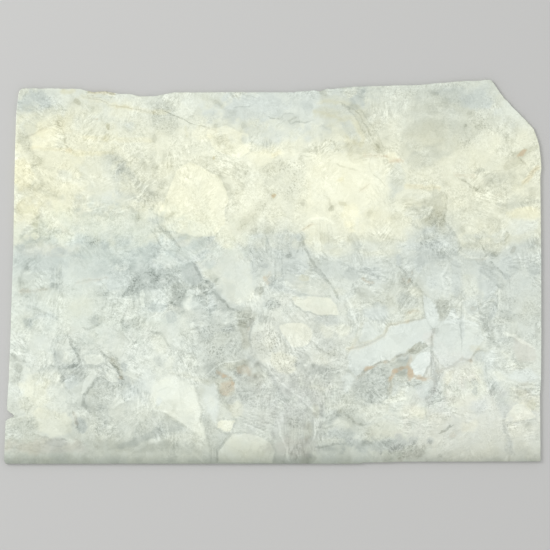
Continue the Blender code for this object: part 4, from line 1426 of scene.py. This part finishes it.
cloud(524, 351, 15, 10, turn=-30, tone=-4, yellow=1, warmth=3, calm=1.0)
bands((5, -2, 0, 0.14, 451, 436, 456, 431, 464, 429, 470, 425))
band([(487, 372), (494, 386), (501, 400), (506, 414)], 12, tone=-7, yellow=-4, ragged=0.7)
patches(
    (3.5, 7, -4, 482, 353, 491, 351, 495, 358, 494, 368, 486, 367, 482, 361),
    (3.5, 6, -5, 516, 370, 530, 370, 538, 378, 532, 383, 518, 381, 508, 376),
    (3.5, 11, 3, 487, 372, 501, 372, 507, 378, 499, 382, 490, 380),
    # big cream
    (8, 4, 4, 446, 372, 452, 367, 464, 361, 474, 364, 482, 370, 486, 382, 486, 396, 476, 404, 462,
     407, 448, 404, 441, 395, 444, 382),
    # lower field
    (6, 3, 3, 404, 404, 416, 403, 424, 409, 423, 420, 410, 418, 400, 412),
    (3.5, 3, 1, 458, 436, 464, 436, 465, 442, 459, 443),
    (7, 0, 3, 364, 428, 376, 421, 392, 421, 406, 428, 404, 437, 384, 440, 370, 436))
clasts(
    # upright blue
    (3, -3, 437, 321, 459, 319, 478, 322, 484, 338, 478, 347, 470, 358, 461, 362, 447, 368, 440,
     362, 434, 350, 434, 333),
    # lower cream
    (8, 3, 508, 412, 516, 405, 523, 402, 531, 408, 536, 417, 527, 419, 514, 422, 505, 420))
spots(
    (522, 361, 5, 4, -5), (475, 391, 3, 4, -19, -3), (449, 387, 2.2, 2.4, -14, 0, 0.05),
    (453, 398.5, 2.6, 2, -23), (521, 393, 5, 3, -12, 2), (532, 404, 4, 4, -10, 3),
    (528, 426, 2.6, 3.6, -17), (443, 394, 3, 3, -12), (410, 424, 3.4, 2, -19, 0, 0, -15),
    (444, 418, 4, 2, -13), (453, 434, 3, 2.6, -10, 0, 0.15), (420, 454, 5, 3, -12),
    (409, 451, 4, 2.4, -10), (399, 455, 5, 2, -10))
spots((480, 356, 5, 5, -7, -3), (475, 382, 4, 4, -17, -3), speckle=0.4)
veins(
    (2.2, 12, 0, 0.2, 470, 361, 471, 356, 476, 352, 480, 351),
    (1.8, 8, 0, 0, 500, 349, 510, 352, 516, 361, 520, 369),
    (1.8, 9, 0, 0, 486, 366, 488, 380, 491, 394), (2.2, 13, 0, 0, 504, 424, 511, 423, 517, 421.5),
    (1.6, 8, 0, 0, 517, 421.5, 526, 419, 533, 419.5),
    (2.8, 11, -2, 0, 504, 424, 505, 432, 509, 441, 513, 453),
    (2.4, 9, 0, 0, 505, 412, 503, 419, 504, 424), (2.4, 7, 0, 0.1, 506, 449, 510, 455, 509, 463),
    (2.4, 11, 0, 0, 425, 403, 432, 405, 440, 400), (1.8, 10, 0, 0, 426, 402, 425, 411, 427, 418),
    (1.4, 9, 0, 0, 405, 420, 410, 421, 416, 424), (2.6, 22, 0, 0, 441, 431, 446, 429, 451, 426))
veins(
    (3.7, 14, 0, 0, 483, 322, 486, 332, 491, 342, 497, 345),
    (2.7, 9, 0, 0, 490, 318, 493, 330, 492, 340), speckle=0.3)
hairs(
    (2.6, 12, 0, 0.2, 437, 371, 447, 367, 456, 363, 462, 358, 470, 360),
    (3, -12, 2, 0, 505, 334, 513, 336, 521, 340, 530, 345),
    (3, -5, 2, 0, 503, 351, 509, 358, 514, 366),
    (1.6, 3, 0, 0.1, 484, 366, 500, 369, 520, 369, 534, 371),
    (3, -7, 0, 0, 404, 420, 410, 418, 418, 419))
report("lower right")

# %% [markdown]
# Last come the smooth places, where the grain almost vanishes, and the rough ones,
# where streaks and crumbs are strongest.

# %% Smooth and rough places
smooth_places = [
    (315, 306, 22, 9), (330, 269, 14, 11), (84, 306, 14, 11), (295, 279, 10, 7), (64, 433, 12, 8),
    (260, 159, 12, 6), (316, 137, 16, 8), (85, 280, 12, 8), (365, 293, 8, 7), (50, 293, 9, 8),
    (372, 328, 10, 7), (484, 292, 7, 9), (463, 406, 12, 8), (386, 139, 8, 9), (281, 328, 9, 6),
    (200, 268, 10, 7), (309, 433, 8, 12), (309, 356, 9, 7), (155, 447, 14, 9), (379, 286, 8, 7),
    (484, 181, 8, 6), (407, 440, 10, 7), (225, 188, 9, 12), (526, 216, 12, 6), (281, 181, 11, 10),
    (372, 244, 9, 7), (302, 251, 8, 8), (204, 370, 8, 6), (309, 265, 8, 6), (379, 433, 9, 6),
    (302, 293, 8, 6), (519, 377, 10, 6), (85, 405, 8, 8), (288, 391, 9, 8), (260, 363, 8, 6),
    (40, 345, 12, 8),
]
rough_places = [
    (64, 370, 14, 12), (382, 400, 12, 9), (155, 202, 12, 8), (80, 414, 10, 8), (30, 157, 12, 12),
    (120, 363, 10, 10), (203, 306, 8, 8), (57, 404, 11, 8), (267, 312, 8, 8), (127, 350, 10, 9),
    (86, 427, 11, 8), (34, 425, 10, 8), (162, 294, 10, 9), (121, 392, 10, 10), (379, 419, 12, 8),
    (136, 376, 9, 8), (29, 364, 8, 9), (106, 231, 12, 7), (29, 300, 9, 8), (85, 335, 11, 8),
    (421, 406, 10, 9), (402, 413, 12, 9), (155, 377, 8, 8), (505, 314, 11, 10), (344, 110, 9, 8),
    (498, 224, 10, 8), (218, 349, 11, 8), (505, 157, 11, 9), (421, 231, 10, 8), (274, 209, 12, 8),
    (169, 363, 9, 9), (36, 171, 9, 9), (295, 449, 9, 8), (57, 412, 10, 8), (477, 118, 10, 10),
    (470, 146, 11, 8), (323, 391, 10, 8), (92, 237, 9, 6), (141, 279, 9, 8), (484, 132, 9, 8),
]
clouds(*smooth_places, calm=0.8)
clouds(*rough_places, calm=-0.8)
print(len(smooth_places), "smooth places,", len(rough_places), "rough places")

# %% [markdown]
# The material turns the attributes into marble. The crisp lumps and veins are cut
# from their distances, with a little noise so that no line is ruled. Everything too
# fine to draw one by one comes from noise: the mottled ground, small broken cells, grey
# specks and fibrous streaks, each as strong as its attribute says. The brightness
# steps are turned into light last. One function makes the polished face, the sawn
# back and the broken edge, because the same stone shows in all three.

# %% Node helpers
def add_node(tree, kind, values=(), **settings):
    """Adds a node, sets its properties, and links or sets its inputs by name."""
    node = tree.nodes.new(kind)
    for name, value in settings.items():
        setattr(node, name, value)
    set_inputs(tree, node, dict(values))
    return node


def set_inputs(tree, node, values):
    """Links each input to the socket given for it, or sets its value."""
    for name, value in values.items():
        if isinstance(value, bpy.types.NodeSocket):
            tree.links.new(value, node.inputs[name])
        else:
            node.inputs[name].default_value = value


def maths(tree, operation, *values):
    """The result of a math node on up to three sockets or numbers."""
    node = add_node(tree, "ShaderNodeMath", enumerate(values), operation=operation)
    return node.outputs[0]


def times(tree, value, by):
    """The product of two sockets or numbers."""
    return maths(tree, "MULTIPLY", value, by)


def attribute(tree, name):
    """A number that the mesh holds at its points."""
    node = add_node(tree, "ShaderNodeAttribute", attribute_name=name)
    return node.outputs["Fac"]


def mapped(tree, value, low, high, to_low, to_high):
    """A value moved from one range to another with soft ends."""
    values = {"Value": value, "From Min": low, "From Max": high}
    values.update({"To Min": to_low, "To Max": to_high})
    kind = "ShaderNodeMapRange"
    return add_node(tree, kind, values, interpolation_type="SMOOTHSTEP").outputs["Result"]


def noise(tree, place, scale, detail=4.0, rough=0.6, twist=0.0, ridged=False):
    """Cloudy noise of a scale in waves a metre, about -1 to 1."""
    values = {"Vector": place, "Scale": scale, "Detail": detail}
    values.update({"Roughness": rough, "Distortion": twist})
    node = add_node(tree, "ShaderNodeTexNoise", values)
    centred = maths(tree, "MULTIPLY_ADD", node.outputs["Fac"], 2.0, -1.0)
    return maths(tree, "ABSOLUTE", centred) if ridged else centred


def turned(tree, place, angle, stretch):
    """The place turned in plan and squeezed along its own x, for streaks."""
    rotation = (0.0, 0.0, math.radians(angle))
    values = {"Vector": place, "Rotation": rotation, "Scale": (stretch, 1.0, 1.0)}
    node = add_node(tree, "ShaderNodeMapping", values, vector_type="TEXTURE")
    return node.outputs["Vector"]


def added(tree, *values):
    """The sum of several sockets."""
    total = values[0]
    for value in values[1:]:
        total = maths(tree, "ADD", total, value)
    return total


print("node helpers: add_node, maths, mapped, noise, turned and added")

# %% [markdown]
# The stone's pattern is one node group, so that all three finishes share it. It
# gives the colour, the brightness on its own, and the specks and grain that make the
# finish a little rougher where the stone is loose.

# %% The stone
RUST_SHADE = (206.0, 183.0, 151.0)
RUST_STRENGTH = 0.68
LEAST_YELLOW = 7.5
RED_PER_YELLOW, RED_OFFSET = 0.4, -11.5
LUMP_STRENGTH = 1.1
LINE_STRENGTH = 1.25
RIM_TONE = -6.0
MOTTLE = 6.7
GRAIN = 10.0
FIBRES = 12.0
SPECKS = -30.0
DISPLAY_SLOPE, DISPLAY_OFFSET, DISPLAY_GAMMA = 1.055, 0.055, 2.4


def voronoi(tree, place, scale, feature, output):
    """Broken cells of a scale in cells a metre."""
    values = {"Vector": place, "Scale": scale}
    node = add_node(tree, "ShaderNodeTexVoronoi", values, feature=feature)
    return node.outputs[output]


def broken_place(tree, place):
    """The place pushed about by noise, so that cells are no neat polygons."""
    values = {"Vector": place, "Scale": 22.0, "Detail": 5.0, "Roughness": 0.65}
    push = add_node(tree, "ShaderNodeTexNoise", values).outputs["Color"]
    centred = {0: push, 1: (0.5, 0.5, 0.5)}
    push = add_node(tree, "ShaderNodeVectorMath", centred, operation="SUBTRACT")
    scaled = {0: push.outputs[0], 1: (0.07, 0.07, 0.02), 2: place}
    kind = "ShaderNodeVectorMath"
    return add_node(tree, kind, scaled, operation="MULTIPLY_ADD").outputs[0]


def fibre_patches(tree, place):
    """For each broken patch of stone: how its fibres run and how strong they are."""
    shade = voronoi(tree, place, 8.0, "F1", "Color")
    parts = add_node(tree, "ShaderNodeSeparateColor", {"Color": shade}).outputs
    way = times(tree, parts[0], math.pi)
    return way, mapped(tree, parts[1], 0.15, 1.0, 0.0, FIBRES)


def fibrous(tree, place, way):
    """Fine streaks, -1 to 1, that run another way in every patch."""
    values = {"Vector": place, "Angle": way}
    swung = add_node(tree, "ShaderNodeVectorRotate", values, rotation_type="Z_AXIS")
    streaks = noise(tree, turned(tree, swung.outputs[0], 0.0, 3.6), 84.0, 2.0, 0.8)
    return mapped(tree, streaks, -0.35, 0.35, -1.0, 1.0)


def lumps(tree, layer, wobble, crumbled=1.0):
    """The tone and yellow that the lumps of a layer add, cut off at their outline.

    A dark lump can be crumbled: a cluster of dark grains instead of an even shade.
    """
    depth = maths(tree, "ADD", attribute(tree, layer + "_depth"), wobble)
    mask = mapped(tree, depth, -0.55, 0.75, 0.0, LUMP_STRENGTH)
    tone = times(tree, attribute(tree, layer + "_tone"), mask)
    pale = maths(tree, "MAXIMUM", tone, 0.0)
    dark = times(tree, maths(tree, "MINIMUM", tone, 0.0), crumbled)
    tone = maths(tree, "ADD", pale, dark)
    outside = mapped(tree, depth, -0.6, 0.2, 1.0, 0.0)
    rim = times(tree, mapped(tree, depth, -3.2, -1.0, 0.0, RIM_TONE), outside)
    tone = maths(tree, "ADD", tone, rim)
    return tone, times(tree, attribute(tree, layer + "_yellow"), mask)


def lines(tree, layer, wobble):
    """The darkening of a set of veins: full in the line's middle, none beside it."""
    side = maths(tree, "ADD", attribute(tree, layer + "_side"), wobble)
    mask = mapped(tree, maths(tree, "ABSOLUTE", side), 0.3, 0.75, LINE_STRENGTH, 0.0)
    return times(tree, attribute(tree, layer + "_mark"), mask)


def stone_group():
    """The node group with the marble's pattern."""
    tree = bpy.data.node_groups.new("marble_pattern", "ShaderNodeTree")
    for name, kind in (("Colour", "Color"), ("Tone", "Float"), ("Speckle", "Float")):
        tree.interface.new_socket(name, in_out="OUTPUT", socket_type="NodeSocket" + kind)
    place = add_node(tree, "ShaderNodeTexCoord").outputs["Object"]
    broken = broken_place(tree, place)

    wobble = times(tree, noise(tree, place, 70.0, 3.0), 0.9)
    crumbled = mapped(tree, noise(tree, broken, 60.0, 4.0, 0.7), -0.3, 0.3, 1.3, 0.65)
    clast_tone, clast_yellow = lumps(tree, "clast", wobble, crumbled)
    chip_tone, chip_yellow = lumps(tree, "chip", wobble)
    thin = times(tree, wobble, 0.35)
    vein_tone, hair_tone = lines(tree, "vein", thin), lines(tree, "hair", thin)
    worn = mapped(tree, noise(tree, place, 45.0, 3.0, 0.6), -0.3, 0.2, 0.35, 1.3)
    vein_tone = times(tree, vein_tone, worn)

    mottle = times(tree, noise(tree, broken, 16.0, 9.0, 0.7, 0.4), MOTTLE)
    ground = attribute(tree, "tone")
    greyer = mapped(tree, ground, GROUND_TONE - 26, GROUND_TONE + 26, -0.07, 0.07)
    fine = noise(tree, place, 78.0, 2.0, 0.95)
    fine = mapped(tree, fine, -0.5, 0.5, -GRAIN, GRAIN)
    fibre_way, fibre_strength = fibre_patches(tree, broken)
    fibres = fibrous(tree, place, fibre_way)
    fibres = times(tree, fibres, fibre_strength)
    calm = mapped(tree, clast_tone, 0.0, 9.0, 1.0, 0.7)
    still = mapped(tree, attribute(tree, "calm"), -1.0, 1.0, 2.0, 0.25)
    calm = times(tree, calm, still)
    busy = mapped(tree, noise(tree, broken, 6.0, 5.0, 0.65), -0.25, 0.25, 0.4, 1.75)
    busy = times(tree, busy, calm)
    uneven = maths(tree, "MULTIPLY_ADD", busy, 0.5, 0.5)
    mottle = times(tree, mottle, uneven)
    fine = times(tree, maths(tree, "ADD", fine, fibres), busy)
    fine = mapped(tree, fine, -30.0, 30.0, -20.0, 20.0)
    cells = voronoi(tree, broken, 17.0, "F1", "Color")
    cells = add_node(tree, "ShaderNodeSeparateColor", {"Color": cells}).outputs[0]
    cells = maths(tree, "MULTIPLY_ADD", cells, 8.0, -4.0)
    crumbs = noise(tree, broken, 46.0, 6.0, 0.75, 0.5)
    dark_crumbs = mapped(tree, maths(tree, "ADD", crumbs, greyer), -0.28, -0.2, -10.0, 0.0)
    pale_crumbs = mapped(tree, crumbs, 0.13, 0.22, 0.0, 3.0)
    crumbs = times(tree, maths(tree, "ADD", dark_crumbs, pale_crumbs), busy)
    cells = maths(tree, "ADD", cells, crumbs)

    seams = voronoi(tree, broken, 9.0, "DISTANCE_TO_EDGE", "Distance")
    seams = mapped(tree, seams, 0.0, 0.03, -5.0, 0.0)
    cracks = voronoi(tree, broken, 24.0, "DISTANCE_TO_EDGE", "Distance")
    cracks = mapped(tree, cracks, 0.0, 0.055, -9.0, 0.0)
    cracks = times(tree, cracks, maths(tree, "SUBTRACT", busy, 0.3))
    seams = maths(tree, "ADD", seams, cracks)
    pale = noise(tree, turned(tree, broken, -30.0, 2.0), 10.0, 4.0, 0.55, ridged=True)
    pale = mapped(tree, pale, 0.0, 0.02, 6.0, 0.0)

    specks = noise(tree, place, 95.0, 2.0, 0.9)
    specks = mapped(tree, specks, 0.0, 0.28, 0.0, 1.0)
    loose = mapped(tree, ground, GROUND_TONE - 22, GROUND_TONE, 0.12, 0.0)
    loose = maths(tree, "ADD", loose, attribute(tree, "speckle"))
    speckle = times(tree, times(tree, specks, loose), still)

    tone = added(tree, ground, clast_tone, chip_tone)
    tone = added(tree, tone, mottle, fine, cells, seams, pale)
    tone = added(tree, tone, times(tree, speckle, SPECKS))
    tone = maths(tree, "SUBTRACT", tone, added(tree, vein_tone, hair_tone))

    tint = times(tree, noise(tree, broken, 9.0, 4.0, 0.6), 5.0)
    yellow = added(tree, attribute(tree, "yellow"), clast_yellow, chip_yellow, tint)
    yellow = maths(tree, "SMOOTH_MAX", yellow, LEAST_YELLOW, 7.0)
    red = maths(tree, "MULTIPLY_ADD", yellow, RED_PER_YELLOW, RED_OFFSET)
    red = added(tree, tone, red, attribute(tree, "warmth"))
    blue = maths(tree, "SUBTRACT", tone, yellow)
    shown = {"X": red, "Y": tone, "Z": blue}
    shown = add_node(tree, "ShaderNodeCombineXYZ", shown).outputs[0]

    drawn_rust = attribute(tree, "rust")
    rust = maths(tree, "ADD", drawn_rust, times(tree, wobble, 0.25))
    rust = times(tree, rust, mapped(tree, drawn_rust, 0.0, 0.1, 0.0, 1.0))
    rust = mapped(tree, rust, 0.05, 0.95, 0.0, RUST_STRENGTH)
    stained = {0: rust, 4: shown, 5: RUST_SHADE}
    shown = add_node(tree, "ShaderNodeMix", data_type="VECTOR")
    set_inputs(tree, shown, stained)

    slope, offset = STEP / DISPLAY_SLOPE, DISPLAY_OFFSET / DISPLAY_SLOPE
    scaled = {0: shown.outputs[1], 1: (slope,) * 3, 2: (offset,) * 3}
    scaled = add_node(tree, "ShaderNodeVectorMath", scaled, operation="MULTIPLY_ADD")
    light = {"Color": scaled.outputs[0], "Gamma": DISPLAY_GAMMA}
    light = add_node(tree, "ShaderNodeGamma", light).outputs["Color"]
    ends = {"Colour": light, "Tone": tone, "Speckle": speckle}
    add_node(tree, "NodeGroupOutput", ends)
    return tree


stone_tree = stone_group()
print("marble pattern:", len(stone_tree.nodes), "nodes")

# %% [markdown]
# Three finishes show the same stone. The face is polished: a thin mirror-like gloss
# that the specks dull. The back is as the saw left it, matt, with faint marks along
# the cut. The edge is broken or sawn stone, matt, with sugary grains that a bump
# brings out.

# %% The finishes
STONE_IOR = 1.5


def finish_material(name, gloss):
    """A Principled material whose colour is the marble pattern."""
    material = bpy.data.materials.new(name)
    material.use_nodes = True
    tree = material.node_tree
    shader = tree.nodes["Principled BSDF"]
    shader.inputs["Roughness"].default_value = gloss
    shader.inputs["IOR"].default_value = STONE_IOR
    stone_node = add_node(tree, "ShaderNodeGroup")
    stone_node.node_tree = stone_tree
    tree.links.new(stone_node.outputs["Colour"], shader.inputs["Base Color"])
    return material, tree, shader, stone_node


def add_bump(tree, shader, height, strength, distance):
    """Bump from a height socket."""
    values = {"Height": height, "Strength": strength, "Distance": distance}
    bump = add_node(tree, "ShaderNodeBump", values)
    tree.links.new(bump.outputs["Normal"], shader.inputs["Normal"])


def polished_face():
    """Polished marble, a little duller on its specks."""
    material, tree, shader, stone_node = finish_material("marble_polished", 0.16)
    place = add_node(tree, "ShaderNodeTexCoord").outputs["Object"]
    wear = maths(tree, "MULTIPLY_ADD", noise(tree, place, 30.0, 4.0), 0.04, 0.17)
    dull = maths(tree, "MULTIPLY_ADD", stone_node.outputs["Speckle"], 0.14, wear)
    tree.links.new(dull, shader.inputs["Roughness"])
    return material


def sawn_back():
    """The sawn back: matt, with faint curved saw marks."""
    material, tree, shader, _ = finish_material("marble_sawn", 0.72)
    place = add_node(tree, "ShaderNodeTexCoord").outputs["Object"]
    marks = noise(tree, turned(tree, place, 0.0, 60.0), 240.0, 2.0, 0.5)
    grain = noise(tree, place, 600.0, 2.0, 0.6)
    height = maths(tree, "MULTIPLY_ADD", grain, 0.5, marks)
    add_bump(tree, shader, height, 0.35, 0.0004)
    return material


def broken_edge():
    """The edge: matt sugary grains."""
    material, tree, shader, _ = finish_material("marble_edge", 0.62)
    place = add_node(tree, "ShaderNodeTexCoord").outputs["Object"]
    grains = voronoi(tree, place, 420.0, "F1", "Distance")
    lumps_height = noise(tree, place, 150.0, 4.0, 0.65)
    height = maths(tree, "MULTIPLY_ADD", lumps_height, 0.6, grains)
    add_bump(tree, shader, height, 0.8, 0.0012)
    return material


for material in (polished_face(), sawn_back(), broken_edge()):
    stone.data.materials.append(material)
FACE_SLOT, BACK_SLOT, EDGE_SLOT = 0, 1, 2
slots = []
for face in stone.data.polygons:
    level = abs(face.normal.z) > LEVEL
    above = face.center.z > THICKNESS / 2
    slots.append((FACE_SLOT if above else BACK_SLOT) if level else EDGE_SLOT)
stone.data.polygons.foreach_set("material_index", slots)
for name, values in marble.items():
    held = stone.data.attributes.new(name, "FLOAT", "POINT")
    held.data.foreach_set("value", values.astype(np.float32))
stone.data.update()
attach(stone, "root")
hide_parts("slab")
print("faces by finish", [slots.count(slot) for slot in (FACE_SLOT, BACK_SLOT, EDGE_SLOT)])

# %% [markdown]
# The slab was photographed square on. It can't stand by itself, so here it lies down
# and the camera looks straight down on it, through a long lens that keeps its sides
# straight. The floor is pale and plain. Light comes evenly from all round, with one
# large soft lamp on the left, so the pattern reads and nothing glares. The Standard
# view shows the stone's tones as they are set.

# %% The stage
CAMERA_HEIGHT = 12.0
SENSOR = 0.036
FRAME_MIDDLE = to_metres(PICTURE_SIDE / 2, PICTURE_SIDE / 2)
FLOOR_SIDE = 40.0
FLOOR_SHADE = (0.56, 0.56, 0.55, 1.0)
FLOOR_ROUGHNESS = 0.9
SKY_SHADE = (1.0, 1.0, 1.0, 1.0)
SKY_STRENGTH = 0.80
KEY_PLACE, KEY_SIDE, KEY_POWER = (-7.0, 4.0, 9.0), 5.0, 430.0

bpy.ops.object.select_all(action="DESELECT")
bpy.ops.mesh.primitive_plane_add(size=FLOOR_SIDE, location=(0, 0, 0))
floor = bpy.context.active_object
floor.name = "floor"
floor_paint = bpy.data.materials.new("floor_paint")
floor_paint.use_nodes = True
floor_shader = floor_paint.node_tree.nodes["Principled BSDF"]
floor_shader.inputs["Base Color"].default_value = FLOOR_SHADE
floor_shader.inputs["Roughness"].default_value = FLOOR_ROUGHNESS
floor.data.materials.append(floor_paint)

camera = bpy.data.objects.new("camera", bpy.data.cameras.new("camera"))
bpy.context.scene.collection.objects.link(camera)
camera.location = (*FRAME_MIDDLE, THICKNESS + CAMERA_HEIGHT)
camera.data.sensor_width = SENSOR * 1000
camera.data.lens = SENSOR * 1000 * CAMERA_HEIGHT / (PICTURE_SIDE * PIXEL)
camera.data.clip_end = 100.0
bpy.context.scene.camera = camera

world = bpy.data.worlds.new("studio")
world.use_nodes = True
sky = world.node_tree.nodes["Background"]
sky.inputs["Color"].default_value = SKY_SHADE
sky.inputs["Strength"].default_value = SKY_STRENGTH
bpy.context.scene.world = world
bpy.context.scene.view_settings.view_transform = "Standard"


def soft_lamp(name, place, side, power):
    """A square soft lamp that points at the middle of the slab."""
    lamp = bpy.data.lights.new(name, "AREA")
    lamp.size = side
    lamp.energy = power
    holder = bpy.data.objects.new(name, lamp)
    bpy.context.scene.collection.objects.link(holder)
    holder.location = place
    across, along = math.hypot(place[0], place[1]), place[2]
    holder.rotation_euler = (0.0, math.atan2(across, along), math.atan2(place[1], place[0]))


soft_lamp("key_lamp", KEY_PLACE, KEY_SIDE, KEY_POWER)
print("camera lens", round(camera.data.lens, 1), "mm")
